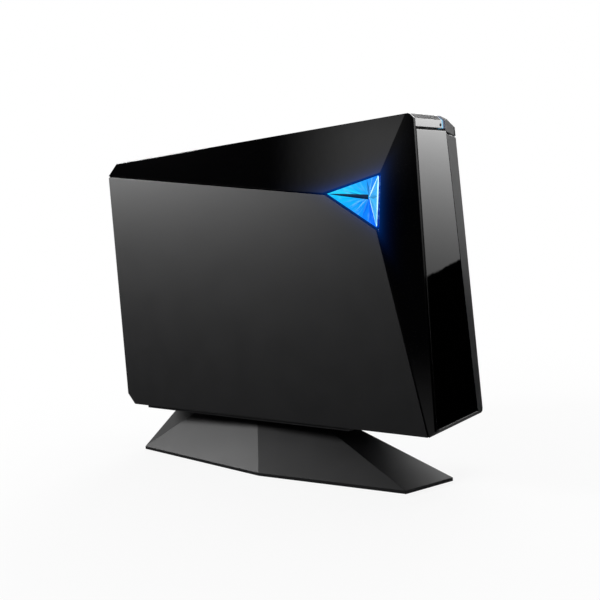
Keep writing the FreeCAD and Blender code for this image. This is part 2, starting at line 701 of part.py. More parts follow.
# ---- drive shell ----
def drive_top_cover():
    """Folded sheet over the tray side, with a pressed ring over the clamp."""
    outer = box((DRIVE_TOP_X, -1.0), (DRIVE_FRONT_Y, DRIVE_BACK_Y), (DRIVE_Z0, DRIVE_Z1))
    inner = box(
        (DRIVE_TOP_X + SHEET, 9), (DRIVE_FRONT_Y - 9, DRIVE_BACK_Y - SHEET),
        (DRIVE_Z0 + SHEET, DRIVE_Z1 - SHEET),
    )
    ring = tube_x((DRIVE_TOP_X - PRESSED, DRIVE_TOP_X + 0.01), DISC_Y, MID_Z, 24, 21)
    raised = (DRIVE_TOP_X - PRESSED, DRIVE_TOP_X + 0.01)
    ribs = [box(raised, (y, y + 3), (MID_Z - 55, MID_Z + 55)) for y in (10, 34)]
    return join([outer.cut(inner), ring] + ribs)


def drive_bottom_cover():
    """Folded pan under the board, with the threaded side holes and vents."""
    outer = box(
        (-0.8, DRIVE_LOW_X), (DRIVE_FRONT_Y, DRIVE_BACK_Y), (DRIVE_Z0, DRIVE_Z1)
    )
    inner = box(
        (-9, DRIVE_LOW_X - SHEET), (DRIVE_FRONT_Y - 9, DRIVE_BACK_Y - SHEET),
        (DRIVE_Z0 + SHEET, DRIVE_Z1 - SHEET),
    )
    pan = outer.cut(inner).cut(box((2, 15.5), (50, FAR), (Z0 + 50, Z0 + 118)))
    for y in DRIVE_HOLES_Y:
        pan = pan.cut(rod_z(DRIVE_HOLE_X, y, (0, FAR), BORE_R))
    for step in range(6):
        y = -8.0 + step * 8.0
        pan = pan.cut(box((18, 20), (y - 1.2, y + 1.2), (MID_Z - 62, MID_Z - 56)))
    return pan


def drive_bezel():
    """Plastic front of the drive with the tray slot and the key's hole."""
    plate = box((DRIVE_TOP_X, DRIVE_LOW_X), (-112, -109.05), (DRIVE_Z0, DRIVE_Z1))
    slot = box((-17.0, -2.3), (-FAR, FAR), (MID_Z - 66.5, MID_Z + 66.5))
    key_hole = box((11.2, 16.8), (-FAR, FAR), (Z0 + 143.8, Z0 + 152.2))
    hole = rod_y(8.0, (-FAR, FAR), Z0 + 149, PINHOLE_R)
    return plate.cut([slot, key_hole, hole])


def drive_key():
    """The drive's own eject key."""
    cap = box((11.4, 16.6), (-112.6, -108.4), (Z0 + 144, Z0 + 152))
    flange = box((10.4, 17.3), (-108.4, -107.6), (Z0 + 143.2, Z0 + 152.8))
    return join([cap, flange])


# ---- loader ----
def loader_frame():
    """Moulded frame: tray channel, deck, traverse window, hinge ears and posts."""
    body = box((GUIDE_X[0], 17.0), FRAME_Y, FRAME_Z)
    body = body.cut(box((-20, DECK[0]), (-FAR, FAR), (MID_Z - CHANNEL_HALF, MID_Z + CHANNEL_HALF)))
    body = body.cut(box((DECK[1], 20), (-98.0, 53.0), (FRAME_Z[0] + 3, FRAME_Z[1] - 3)))
    body = body.cut(box((-9, 20), (-72.0, 53.0), TRAVERSE_Z))
    body = body.cut(box((2.5, 15.0), (50.0, FAR), (Z0 + 50.5, Z0 + 117.5)))
    for step in range(5):
        y = -90.0 + step * 30.0
        for z in (FRAME_Z[0] - 1, FRAME_Z[1] - 2.6):
            body = body.cut(box((-15, -3), (y, y + 22), (z, z + 3.6)))
    adds = []
    for y in (-96.0, -40.0, 30.0):
        adds.append(box(GUIDE_X, (y, y + 12), (MID_Z - CHANNEL_HALF - 0.1, MID_Z - 61)))
        adds.append(box(GUIDE_X, (y, y + 12), (MID_Z + 61, MID_Z + CHANNEL_HALF + 0.1)))
    for z in (TRAVERSE_Z[0] - 4, TRAVERSE_Z[1]):
        adds.append(box((-0.5, 9.0), (HINGE_Y - 5, HINGE_Y + 5), (z, z + 4)))
    adds.append(rod_x((-2.3, -2.25 + 4.4), WHEEL_Y, WHEEL_Z, 2.0))
    body = body.fuse(adds)
    body = body.cut(rod_z(HINGE_X, HINGE_Y, (TRAVERSE_Z[0] - 5, TRAVERSE_Z[1] + 5), 2.05))
    body = body.fuse([rod_x(AXLE_X, WHEEL_Y, WHEEL_Z, 1.5), rod_x(AXLE_X, PINION_Y, PINION_Z, 1.2)])
    body = body.cut(rod_x((-3, 1), MOTOR_Y, MOTOR_Z, 4.0))
    for y in DRIVE_HOLES_Y:
        body = body.cut(rod_z(DRIVE_HOLE_X, y, (0, FAR), BORE_R))
    body = body.cut(box((10, 18), (-110, -95), (Z0 + 142.5, Z0 + 153.5)))
    return body.removeSplitter()


def door_ribs():
    """Ribs that tie the door to the tray's front plate."""
    return [box((-16, -3), (-118.6, -114.5), (MID_Z + z - 1, MID_Z + z + 1)) for z in (-58, -20, 20, 58)]


def tray_rack():
    """Straight teeth under the tray."""
    pitch = math.pi * RACK_MODULE
    half = pitch / 4 - BACKLASH / 2
    lean = math.tan(PRESSURE)
    pitch_z = WHEEL_Z - RACK_R
    tip, root = pitch_z + ADDENDUM * RACK_MODULE, pitch_z - DEDENDUM * RACK_MODULE
    top_x = TRAY_UNDER_X - 0.2
    teeth = [box((top_x, LAYER_A[1]), (-100, 54), (root - 2.4, root + 0.01))]
    first = round((-98 - WHEEL_Y) / pitch)
    for index in range(first, first + RACK_COUNT):
        y = WHEEL_Y + (index + 0.5) * pitch
        low, high = half + lean * DEDENDUM, half - lean * ADDENDUM
        loop = [(y - low, root), (y + low, root), (y + high, tip), (y - high, tip)]
        teeth.append(prism([(top_x, a, b) for a, b in loop], (LAYER_A[1] - top_x, 0, 0)))
    return teeth


def disc_tray():
    """Sliding tray: two disc recesses, rear-open spindle slot, catches, rails and rack."""
    half = TRAY_W / 2
    deck = box((TRAY_RIM_X, TRAY_UNDER_X), (TRAY_FRONT_Y, TRAY_BACK_Y), (MID_Z - half, MID_Z + half))
    deck = deck.cut(rod_x((-20, TRAY_FLOOR_X), DISC_Y, MID_Z, RECESS_R))
    deck = deck.cut(rod_x((-20, TRAY_STEP_X), DISC_Y, MID_Z, SMALL_RECESS_R))
    slot = rod_x((-20, 0), DISC_Y, MID_Z, SLOT_R).fuse(
        box((-20, 0), (DISC_Y, FAR), (MID_Z - SLOT_R, MID_Z + SLOT_R)))
    cuts = [slot]
    rails = []
    for side in (-1, 1):
        z = MID_Z + side * 42
        cuts.append(box((-20, TRAY_FLOOR_X), (20, TRAY_BACK_Y - 3), (z - 18, z + 18)))
        grip = rod_x((-20, 0), DISC_Y, MID_Z + side * RECESS_R, 9.0)
        cuts.append(grip.common(
            box((-20, TRAY_STEP_X), (-FAR, FAR), (MID_Z - half + 1.5, MID_Z + half - 1.5))))
        z = MID_Z + side * (half - RAIL_HALF)
        rails.append(box((TRAY_RIM_X, -2.5), (TRAY_FRONT_Y, TRAY_BACK_Y), (z - RAIL_HALF, z + RAIL_HALF)))
    deck = deck.cut(cuts)
    front = box((-17.5, -1.0), (-114.6, TRAY_FRONT_Y + 0.05), (MID_Z - 69, MID_Z + 69))
    catches = []
    for turn in (40, 140, 220, 320):
        y = DISC_Y + (RECESS_R - 0.5) * math.cos(math.radians(turn))
        z = MID_Z + (RECESS_R - 0.5) * math.sin(math.radians(turn))
        catches.append(rod_x((TRAY_RIM_X - 0.01, TRAY_RIM_X + 0.9), y, z, 2.4))
    return join([deck, front] + rails + catches + tray_rack())


def front_door():
    """Gloss front panel carried on the tray."""
    loop = [(x, -HALF_D, z) for x, z in door_outline(GAP)]
    slab = prism(loop, (0, DOOR_T, 0))
    ribs = [rib.common(front_band(-118.6, -114.6)) for rib in door_ribs()]
    return join([slab] + ribs)


def gear_outline(teeth, module, phase):
    """Involute outline as (u, v) pairs; one tooth is centred on the phase angle."""
    pitch_r = teeth * module / 2
    base_r = pitch_r * math.cos(PRESSURE)
    root_r = pitch_r - DEDENDUM * module
    tip_r = pitch_r + ADDENDUM * module
    start_r = max(base_r, root_r)
    half = math.pi / (2 * teeth) - BACKLASH / (4 * pitch_r)
    half += math.tan(PRESSURE) - PRESSURE
    flank = []
    for step in range(4):
        r = start_r + (tip_r - start_r) * step / 3
        roll = math.acos(min(1.0, base_r / r))
        flank.append((r, half - (math.tan(roll) - roll)))
    if root_r < start_r:
        flank.insert(0, (root_r, flank[0][1]))
    loop = []
    for index in range(teeth):
        middle = phase + 2 * math.pi * index / teeth
        for r, spread in flank:
            loop.append((r * math.cos(middle - spread), r * math.sin(middle - spread)))
        for r, spread in reversed(flank):
            loop.append((r * math.cos(middle + spread), r * math.sin(middle + spread)))
    return loop


def gear(teeth, module, phase, x, y, z):
    """Spur gear on an X axis; the phase angle runs from +Z towards +Y."""
    loop = [(x[0], y + v, z + u) for u, v in gear_outline(teeth, module, phase)]
    return prism(loop, (x[1] - x[0], 0, 0))


def pulley(x, y, z, r):
    """Grooved belt wheel."""
    mid = (x[0] + x[1]) / 2
    side = 1.5 * BELT_R
    groove = [(mid - side, r), (mid, r - side), (mid + side, r)]
    profile = [(x[0], 0), (x[0], r)] + groove + [(x[1], r), (x[1], 0)]
    return turned(profile, y, z)


def loading_gear():
    """Double gear: tray pinion over the driven wheel."""
    tray_pinion = gear(RACK_TEETH, RACK_MODULE, math.pi, LAYER_A, WHEEL_Y, WHEEL_Z)
    wheel = gear(WHEEL_TEETH, TRAIN_MODULE, PINION_ANGLE, LAYER_B, WHEEL_Y, WHEEL_Z)
    for index in range(6):
        turn = math.radians(30 + index * 60)
        y, z = WHEEL_Y + 11.6 * math.sin(turn), WHEEL_Z + 11.6 * math.cos(turn)
        wheel = wheel.cut(rod_x((-5, -2), y, z, 2.4))
    hub = rod_x((LAYER_A[1] - 0.1, LAYER_B[0] + 0.1), WHEEL_Y, WHEEL_Z, 5.0)
    return join([tray_pinion, wheel, hub]).cut(rod_x((-9, 0), WHEEL_Y, WHEEL_Z, 1.55))


def pulley_gear():
    """Belt pulley over the small pinion."""
    facing = PINION_ANGLE + math.pi + math.pi / PINION_TEETH
    small = gear(PINION_TEETH, TRAIN_MODULE, facing, LAYER_B, PINION_Y, PINION_Z)
    big = pulley(LAYER_A, PINION_Y, PINION_Z, PULLEY_R)
    hub = rod_x((LAYER_A[1] - 0.1, LAYER_B[0] + 0.1), PINION_Y, PINION_Z, 3.0)
    return join([big, small, hub]).cut(rod_x((-9, 0), PINION_Y, PINION_Z, 1.25))


def motor_pulley():
    """Small belt wheel on the loading motor's shaft."""
    wheel = pulley(LAYER_A, MOTOR_Y, MOTOR_Z, MOTOR_PULLEY_R)
    return wheel.cut(rod_x((-9, 0), MOTOR_Y, MOTOR_Z, 0.8))


def loading_motor():
    """Flat motor under the deck, its shaft up through the pulley."""
    profile = [(0.1, 0), (0.1, 10.5), (0.6, 11.0), (12.4, 11.0), (13.0, 10.4), (13.0, 0)]
    can = turned(profile, MOTOR_Y, MOTOR_Z)
    nose = rod_x((-2.2, 0.2), MOTOR_Y, MOTOR_Z, 3.0)
    shaft = rod_x((-6.9, -2.1), MOTOR_Y, MOTOR_Z, 0.75)
    return join([can, nose, shaft])


def drive_belt():
    """Round belt round both wheels."""
    mid = (LAYER_A[0] + LAYER_A[1]) / 2
    r0, r1 = PULLEY_R + 0.02, MOTOR_PULLEY_R + 0.02
    gap_y, gap_z = MOTOR_Y - PINION_Y, MOTOR_Z - PINION_Z
    span = math.hypot(gap_y, gap_z)
    along = math.atan2(gap_y, gap_z)
    lean = math.acos((r0 - r1) / span)
    pieces = []
    ends = []
    for side in (-1, 1):
        turn = along + side * lean
        out_y, out_z = math.sin(turn), math.cos(turn)
        a = V(mid, PINION_Y + r0 * out_y, PINION_Z + r0 * out_z)
        b = V(mid, MOTOR_Y + r1 * out_y, MOTOR_Z + r1 * out_z)
        pieces.append(Part.makeCylinder(BELT_R, (b - a).Length, a, b - a))
        ends.append((a, b))
    middle_big = V(mid, PINION_Y - r0 * math.sin(along), PINION_Z - r0 * math.cos(along))
    middle_small = V(mid, MOTOR_Y + r1 * math.sin(along), MOTOR_Z + r1 * math.cos(along))
    (big_a, small_a), (big_b, small_b) = ends
    for start, middle, end in ((big_a, middle_big, big_b), (small_a, middle_small, small_b)):
        arc = Part.Arc(start, middle, end).toShape()
        tangent = arc.tangentAt(arc.FirstParameter)
        ring = Part.Wire(Part.makeCircle(BELT_R, start, tangent))
        pieces.append(Part.Wire(arc).makePipeShell([ring], True, True))
    return join(pieces)


# ---- traverse: spindle, pickup and their carrier ----
def cam_slider():
    """Plate with two sloping slots that lowers the front of the traverse."""
    z0, z1 = MID_Z - 34.0, MID_Z + 20.0
    body = box((0.2, 17.6), CAM_Y, (z0, z1))
    lean = V(DROP, 0, -SLIDE_TRAVEL)
    lean.normalize()
    across = V(lean.z, 0, -lean.x) * CAM_SLOT_R
    for z in PIN_Z:
        start = V(PIN_X, -70, z) - lean * 0.6
        end = V(PIN_X + DROP, -70, z - SLIDE_TRAVEL) + lean * 0.6
        loop = [tuple(start + across), tuple(end + across), tuple(end - across), tuple(start - across)]
        body = body.cut(prism(loop, (0, 9, 0)))
        for spot in (start, end):
            body = body.cut(rod_y(spot.x, (-70, -61), spot.z, CAM_SLOT_R))
    return body


def traverse_holder():
    """Moulded carrier: hinge pins at the back, cam pins at the front, four damper posts."""
    body = box((2.6, 6.0), (-61.5, 50.0), (MID_Z - 34.5, MID_Z + 34.5))
    body = body.cut(box((0, 9), (-30, 42), (MID_Z - 27, MID_Z + 27)))
    body = body.cut(rod_x((0, 9), DISC_Y, MID_Z, 15.0))
    adds = [rod_z(HINGE_X, HINGE_Y, (TRAVERSE_Z[0] - 3.6, MID_Z - 34), 2.0)]
    adds.append(rod_z(HINGE_X, HINGE_Y, (MID_Z + 34, TRAVERSE_Z[1] + 3.6), 2.0))
    adds += [rod_y(PIN_X, (-67.2, -61), z, 1.5) for z in PIN_Z]
    adds += [rod_x((-0.4, 2.7), y, z, 1.0) for y, z in CORNERS]
    return join([body] + adds)


def dampers():
    """Rubber rings between carrier and steel plate."""
    rings = []
    for y, z in CORNERS:
        rings.append(tube_x((0.75, 2.55), y, z, 3.6, 1.05))
    return group(rings)


def traverse_plate():
    """Steel plate that holds spindle motor and rods."""
    plate = box((-0.5, 0.7), (-59.0, 42.0), (MID_Z - 34.0, MID_Z + 34.0))
    plate = plate.cut(box((-2, 2), (-31.0, 34.5), (MID_Z - 25.0, MID_Z + 25.0)))
    plate = plate.cut([rod_x((-2, 2), y, z, 1.05) for y, z in CORNERS])
    clips = []
    for z in RODS_Z:
        for y in (-33.5, 35.5):
            clips.append(box((ROD_X - 2.4, -0.4), (y, y + 2.5), (z - 2.6, z + 2.6)).cut(
                rod_y(ROD_X, (y - 1, y + 4), z, ROD_R + 0.02)))
    return join([plate] + clips)


def guide_rods():
    """Two polished rods the pickup rides on."""
    return group([rod_y(ROD_X, (-33.4, 37.9), z, ROD_R) for z in RODS_Z])


def spindle_motor():
    """Stator plate and bearing tube of the disc motor."""
    base = rod_x((-1.9, -0.55), DISC_Y, MID_Z, 12.5)
    base = base.fuse(box((-1.9, -0.55), (-58, -46), (MID_Z - 9, MID_Z + 9)))
    coils = []
    for index in range(9):
        turn = math.radians(index * 40)
        spot = box((-3.6, -1.8), (4.4, 8.6), (-1.3, 1.3))
        spot.rotate(V(0, 0, 0), V(1, 0, 0), math.degrees(turn))
        spot.translate(V(0, DISC_Y, MID_Z))
        coils.append(spot)
    tube = rod_x((-4.0, -0.6), DISC_Y, MID_Z, 4.6)
    body = join([base, tube] + coils)
    return body.cut(rod_x((-5, 0), DISC_Y, MID_Z, 1.25))


def turntable():
    """Rotor bell, disc seat and centring cone."""
    bell = [(-7.4, 0), (-7.4, 11.0), (-2.2, 11.0), (-2.2, 10.0), (-4.3, 10.0), (-4.3, 0)]
    seat = [(-11.2, 0), (-11.2, 15.0), (-9.9, 15.0), (-9.0, 9.0), (-7.3, 9.0), (-7.3, 0)]
    cone = [(-13.0, 0), (-13.0, 6.2), (-12.4, 7.2), (-11.1, 7.4), (-11.1, 0)]
    parts = [turned(profile, DISC_Y, MID_Z) for profile in (bell, seat, cone)]
    parts.append(rod_x((-4.4, -0.9), DISC_Y, MID_Z, 1.2))
    body = join(parts)
    for turn in (0, 120, 240):
        y = DISC_Y + 3.6 * math.cos(math.radians(turn))
        z = MID_Z + 3.6 * math.sin(math.radians(turn))
        body = body.cut(rod_x((-13.5, -12.5), y, z, 0.9))
    return body


def pickup_sled():
    """Carriage on both rods with the lens cradle and the screw follower."""
    body = box((-5.6, 1.6), SLED_Y, (MID_Z - 23.4, MID_Z + 22.4))
    body = body.cut(rod_x((-9, 9), DISC_Y, MID_Z, 17.5))
    for z in RODS_Z:
        body = body.cut(rod_y(ROD_X, (-40, 9), z, ROD_R + 0.05))
    body = body.cut(box((-9, -3.4), (LENS_Y - 4.5, LENS_Y + 7.0), (MID_Z - 8.0, MID_Z + 8.0)))
    body = body.cut(box((-0.4, 9), (-26, -10), (MID_Z - 20, MID_Z - 6)))
    follower = box((-6.1, -5.3), (-20.0, -12.0), (MID_Z + 21.0, SCREW_Z + 2.0))
    return join([body, follower])


def objective_lens():
    """Lens and its floating holder."""
    holder = box((-6.6, -4.2), (LENS_Y - 3.6, LENS_Y + 5.6), (MID_Z - 6.4, MID_Z + 6.4))
    foot = box((-4.3, -3.4), (LENS_Y + 1.5, LENS_Y + 4.5), (MID_Z - 5, MID_Z + 5))
    ring = turned([(-7.4, 2.1), (-7.4, 2.9), (-6.5, 3.2), (-6.5, 2.1)], LENS_Y, MID_Z)
    glass = Part.makeSphere(3.2, V(-4.6, LENS_Y, MID_Z)).common(rod_x((-7.5, -4.5), LENS_Y, MID_Z, 2.1))
    return join([holder, foot, ring, glass])


def lead_screw():
    """Threaded spindle that drives the pickup."""
    core = rod_y(LEAD_X, (-30.5, 36.0), SCREW_Z, LEAD_R)
    helix = Part.makeHelix(SCREW_PITCH, 54.0, LEAD_R)
    ring = Part.Wire(Part.makeCircle(0.3, V(LEAD_R, 0, 0), V(0, 1, 0)))
    thread = Part.Wire(helix.Edges).makePipeShell([ring], True, True)
    thread.rotate(V(0, 0, 0), V(1, 0, 0), -90)
    thread.translate(V(LEAD_X, -24.0, SCREW_Z))
    return core.fuse(thread)


def stepper_motor():
    """Small motor and end bracket of the lead screw."""
    can = rod_y(LEAD_X, (34.0, 41.5), SCREW_Z, 2.8)
    flat = box((-4.5, -0.55), (35.0, 40.5), (SCREW_Z - 2.7, SCREW_Z + 5.0))
    bearing = box((LEAD_X - 2.0, -0.55), (-31.6, -28.2), (SCREW_Z - 2.2, SCREW_Z + 2.2))
    foot = box((-1.4, -0.55), (-35.0, -31.2), (SCREW_Z - 3.5, SCREW_Z + 3.5))
    bore = rod_y(LEAD_X, (-31.0, 36.5), SCREW_Z, LEAD_R + 0.05)
    return group([join([can, flat]).cut(bore), join([bearing, foot]).cut(bore)])


# ---- clamp ----
def clamp_bridge():
    """Sheet bridge over the tray that holds the clamp loose in its hole."""
    plate = box((-18.3, -17.3), (DISC_Y - 16, DISC_Y + 16), (MID_Z - 69, MID_Z + 69))
    plate = plate.fuse(rod_x((-18.3, -17.3), DISC_Y, MID_Z, 24.0))
    plate = plate.cut(rod_x((-19, -16), DISC_Y, MID_Z, 12.6))
    ends = []
    for s in (-1, 1):
        z = MID_Z + s * 66.5
        ends.append(box((-17.4, -16.55), (DISC_Y - 16, DISC_Y + 16), (z - 2.0, z + 2.0)))
    return join([plate] + ends)


def clamp_puck():
    """Spinning clamp with a pocket for the cone."""
    profile = [
        (-20.8, 0), (-20.8, 14.4), (-19.0, 15.0), (-18.6, 15.0), (-18.6, 12.3), (-16.9, 12.3),
        (-16.0, 15.6), (-12.6, 15.6), (-12.6, 9.4), (-14.0, 9.0), (-14.0, 0),
    ]
    body = turned(profile, DISC_Y, MID_Z)
    cuts = []
    for index in range(6):
        turn = math.radians(index * 60)
        cuts.append(rod_x((-21, -20), DISC_Y + 10.0 * math.cos(turn), MID_Z + 10.0 * math.sin(turn), 1.4))
    return body.cut(cuts)


# ---- electronics of the drive ----
def drive_board():
    """Main board under the traverse."""
    board = box((14.6, 16.0), (-28.0, 52.6), (MID_Z - 66.0, MID_Z + 66.0))
    board = board.cut([rod_x((14, 17), 46.0, MID_Z + s * 60, 1.8) for s in (-1, 1)])
    return board


def board_parts():
    """Chips, capacitors and flat connectors on the board."""
    parts = [box((16.0, 17.6), (-6, 14), (MID_Z - 10, MID_Z + 10))]
    parts.append(box((16.0, 17.4), (20, 30), (MID_Z + 16, MID_Z + 36)))
    parts.append(box((12.9, 14.6), (-24, -21), (MID_Z + 44, MID_Z + 62)))
    for step in range(4):
        parts.append(rod_x((10.4, 14.6), -14.0 + step * 9.0, MID_Z + 54, 2.5))
    for step in range(6):
        z = MID_Z - 34 + step * 5
        parts.append(box((16.0, 16.7), (-22, -20), (z, z + 3)))
    return group(parts)


def rear_connector():
    """Bus and power plugs at the back of the drive."""
    shell = box((3.0, 14.5), (52.7, 58.8), (Z0 + 51, Z0 + 117))
    shell = shell.cut(box((4.4, 10.6), (54.2, FAR), (Z0 + 56, Z0 + 110)))
    pins = []
    for x in (5.4, 8.9):
        for step in range(20):
            z = Z0 + 58.6 + step * PIN_PITCH
            pins.append(box((x, x + 0.6), (53.5, 57.6), (z, z + 0.6)))
    return shell.fuse(pins)


def flex_cable():
    """Flat foil from the board to the loading motor."""
    foil_x = (13.1, 13.4)
    long_leg = box(foil_x, (MOTOR_Y - 4, -24.1), (MID_Z + 47, MID_Z + 57))
    short_leg = box(foil_x, (MOTOR_Y - 4, MOTOR_Y + 4), (MOTOR_Z + 3, MID_Z + 57))
    return join([long_leg, short_leg])


# ---- stand ----
def stand_form(inset):
    """Faceted foot, every sloping face moved inward by inset."""
    loop = [(x, y, FOOT_H) for x, y in RIM]
    body = prism(loop, (0, 0, PLATE_Z[0] - FOOT_H))
    tops = [LEFT_TOP, LEFT_TOP, RIDGE, RIDGE, RIGHT_TOP, BACK_TOP]
    count = len(RIM)
    low = FOOT_H + RIM_H
    x, y, z = BACK_SIDE_TOP
    faces = [
        plane((*RIM[0], low), (-x, y, z), BACK_TOP, (0, 0, 1)),
        plane((*RIM[-1], low), (x, y, z), BACK_TOP, (0, 0, 1)),
    ]
    for index in range(count):
        a, b = RIM[index], RIM[(index + 1) % count]
        faces.append(plane((*a, low), (*b, low), tops[index], (0, 0, 1)))
    for point, normal in faces:
        body = body.cut(outside(point - normal * inset, normal))
    if inset:
        for index in range(count):
            a, b = RIM[index], RIM[(index + 1) % count]
            wall = plane((*a, 0), (*b, 0), (*b, 9), ((a[0] + b[0]) / 2, (a[1] + b[1]) / 2, 0))
            body = body.cut(outside(wall[0] - wall[1] * inset, wall[1]))
    return body


def stand_base():
    """Hollow faceted foot with screw bosses and pads' seats."""
    form = stand_form(0.0)
    body = form.cut(stand_form(2.4).common(box((-FAR, FAR), (-FAR, FAR), (-FAR, PLATE_Z[0] - 2.4))))
    bosses = [rod_z(x, y, (FOOT_H + 14, PLATE_Z[0] - 1), 4.5) for x, y in STAND_SCREWS]
    seats = [rod_z(x, y, (FOOT_H, FOOT_H + 8), 7.0) for x, y in STAND_FEET]
    body = body.fuse([piece.common(form) for piece in bosses + seats])
    for x, y in STAND_SCREWS:
        body = body.cut(rod_z(x, y, (0, FAR), THROUGH_R)).cut(rod_z(x, y, (0, FOOT_H + 21.0), 3.1))
    body = body.cut([rod_z(x, y, (0, PAD_T), PAD_R) for x, y in STAND_FEET])
    return body.removeSplitter()


def stand_top_plate():
    """Thin plate that carries the case, with its locating pegs."""
    plate = box((-29.5, 29.5), (-66.0, 103.5), PLATE_Z)
    pegs = [rod_z(x, y, (PLATE_Z[1] - 0.1, PLATE_Z[1] + 4.0), PEG_R) for x, y in PEGS]
    nuts = [rod_z(x, y, (PLATE_Z[0], PLATE_Z[1]), 9.0) for x, y in STAND_SCREWS]
    body = join([plate] + pegs + nuts)
    return body.cut([rod_z(x, y, (0, PLATE_Z[1] - 0.5), BORE_R) for x, y in STAND_SCREWS])


def stand_screws():
    """Screws up through the foot into the plate."""
    screws = []
    for x, y in STAND_SCREWS:
        head_z = FOOT_H + 21.0
        head = rod_z(x, y, (head_z - 1.6, head_z), HEAD_R)
        head = head.cut(box((x - 2, x + 2), (y - 0.4, y + 0.4), (head_z - 2, head_z - 0.9)))
        screws.append(head.fuse(rod_z(x, y, (head_z, PLATE_Z[1] - 0.7), SCREW_R)))
    return group(screws)


def stand_feet():
    """Rubber pads under the foot."""
    return group([rod_z(x, y, (0, PAD_T), PAD_R) for x, y in STAND_FEET])


NODES = [
    stand_base, stand_top_plate, stand_feet, stand_screws,
    left_cover, right_cover, side_panel, front_bezel, top_cap, status_light,
    eject_button, button_spring, gem_lens, gem_reflector, led_board,
    rear_panel, rear_ribs, rear_screws, switch_housing, power_switch, dc_jack, usb_socket,
    bridge_board, bridge_parts, bus_cable, cover_screws, case_feet,
    drive_cradle, cradle_screws, drive_screws, drive_top_cover, drive_bottom_cover, drive_bezel, drive_key,
    loader_frame, disc_tray, front_door, loading_gear, pulley_gear, motor_pulley, loading_motor, drive_belt,
    cam_slider, traverse_holder, dampers, traverse_plate, guide_rods, spindle_motor, turntable,
    pickup_sled, objective_lens, lead_screw, stepper_motor, clamp_bridge, clamp_puck,
    drive_board, board_parts, rear_connector, flex_cable,
]

os.makedirs("parts", exist_ok=True)
for make in NODES:
    make().exportStep(os.path.join("parts", make.__name__ + ".step"))
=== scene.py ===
import json
import math
import bpy
import bmesh
from mathutils import Matrix, Vector


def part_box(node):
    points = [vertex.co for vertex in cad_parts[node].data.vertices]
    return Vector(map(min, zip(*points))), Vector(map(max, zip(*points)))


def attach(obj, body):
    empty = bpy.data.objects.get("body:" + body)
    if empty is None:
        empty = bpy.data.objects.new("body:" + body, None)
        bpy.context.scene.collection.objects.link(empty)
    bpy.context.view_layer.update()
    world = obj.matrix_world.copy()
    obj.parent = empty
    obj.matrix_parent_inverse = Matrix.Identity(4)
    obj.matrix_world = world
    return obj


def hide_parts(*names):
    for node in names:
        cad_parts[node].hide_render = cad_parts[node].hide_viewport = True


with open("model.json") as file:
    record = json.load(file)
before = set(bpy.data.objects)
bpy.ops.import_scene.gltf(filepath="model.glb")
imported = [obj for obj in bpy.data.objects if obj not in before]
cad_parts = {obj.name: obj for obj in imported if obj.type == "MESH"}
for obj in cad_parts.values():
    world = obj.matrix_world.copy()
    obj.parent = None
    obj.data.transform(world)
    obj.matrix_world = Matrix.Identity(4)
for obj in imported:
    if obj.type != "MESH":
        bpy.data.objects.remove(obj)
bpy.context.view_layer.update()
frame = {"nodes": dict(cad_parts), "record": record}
scene = bpy.context.scene
MM = 0.001

# widths over which worn edges show
PLASTIC_EDGE = 0.35 * MM
LACQUER_EDGE = 0.5 * MM
METAL_EDGE = 0.2 * MM

PIANO_BLACK = (0.0022, 0.0022, 0.0026)
# strength and reach of the jewel's light on the flat panel and on the gloss facets
PANEL_HALO = (0.10, 3.0 * MM)
FACET_HALO = (0.20, 2.6 * MM)
# jewel: depth of its body, of the crests of its rays and of the ridges on its edges
GEM_SUNK = 3.2 * MM
GEM_CREST = 0.2 * MM
ARRIS_RIDGE = 0.12 * MM
ARRIS_STEPS = 12
WIRE_PITCH = 1.27 * MM
TRACK_PITCH = 1.0 * MM
FRONT_FACE = -121.5 * MM
CAP_BOTTOM = 190.5 * MM
# turn from the front towards +X, rise and roll, in degrees
CAMERA_ANGLES = (-50.318, 1.977, -4.733)
CAMERA_PLACE = (-0.38865, -0.33938, 0.14590)
CAMERA_LENS = 49.56
CAMERA_SENSOR = 36.0
CAMERA_SHIFT = -0.0777
FLOOR_HALF = 6.0


# ---- node helpers ----
class Graph:
    """Short way to write a node tree."""

    def __init__(self, tree):
        self.tree = tree
        self.tree.nodes.clear()

    def add(self, kind, inputs=None, **props):
        node = self.tree.nodes.new(kind)
        for key, value in props.items():
            setattr(node, key, value)
        for key, value in (inputs or {}).items():
            self.put(node.inputs[key], value)
        return node

    def put(self, socket, value):
        if isinstance(value, bpy.types.NodeSocket):
            self.tree.links.new(value, socket)
        else:
            socket.default_value = value

    def math(self, operation, a, b=0.0, c=0.0, clamp=False):
        node = self.add("ShaderNodeMath", operation=operation, use_clamp=clamp)
        for socket, value in zip(node.inputs, (a, b, c)):
            self.put(socket, value)
        return node.outputs[0]

    def ramp(self, value, low, high, out_low=0.0, out_high=1.0):
        node = self.add("ShaderNodeMapRange", interpolation_type="SMOOTHSTEP")
        for socket, item in zip(node.inputs, (value, low, high, out_low, out_high)):
            self.put(socket, item)
        return node.outputs[0]

    def mix(self, factor, a, b):
        node = self.add("ShaderNodeMix", data_type="RGBA")
        self.put(node.inputs[0], factor)
        self.put(node.inputs[6], a)
        self.put(node.inputs[7], b)
        return node.outputs[2]

    def noise(self, scale, detail=2.0, where=None, rough=0.5):
        node = self.add("ShaderNodeTexNoise", {"Scale": scale, "Detail": detail, "Roughness": rough})
        self.put(node.inputs["Vector"], where or self.place())
        return node.outputs[0]

    def place(self, stretch=None):
        spot = self.add("ShaderNodeTexCoord").outputs["Object"]
        if stretch is None:
            return spot
        return self.add("ShaderNodeMapping", {"Vector": spot, "Scale": stretch}).outputs[0]


def rgb(color):
    return (*color[:3], 1.0)


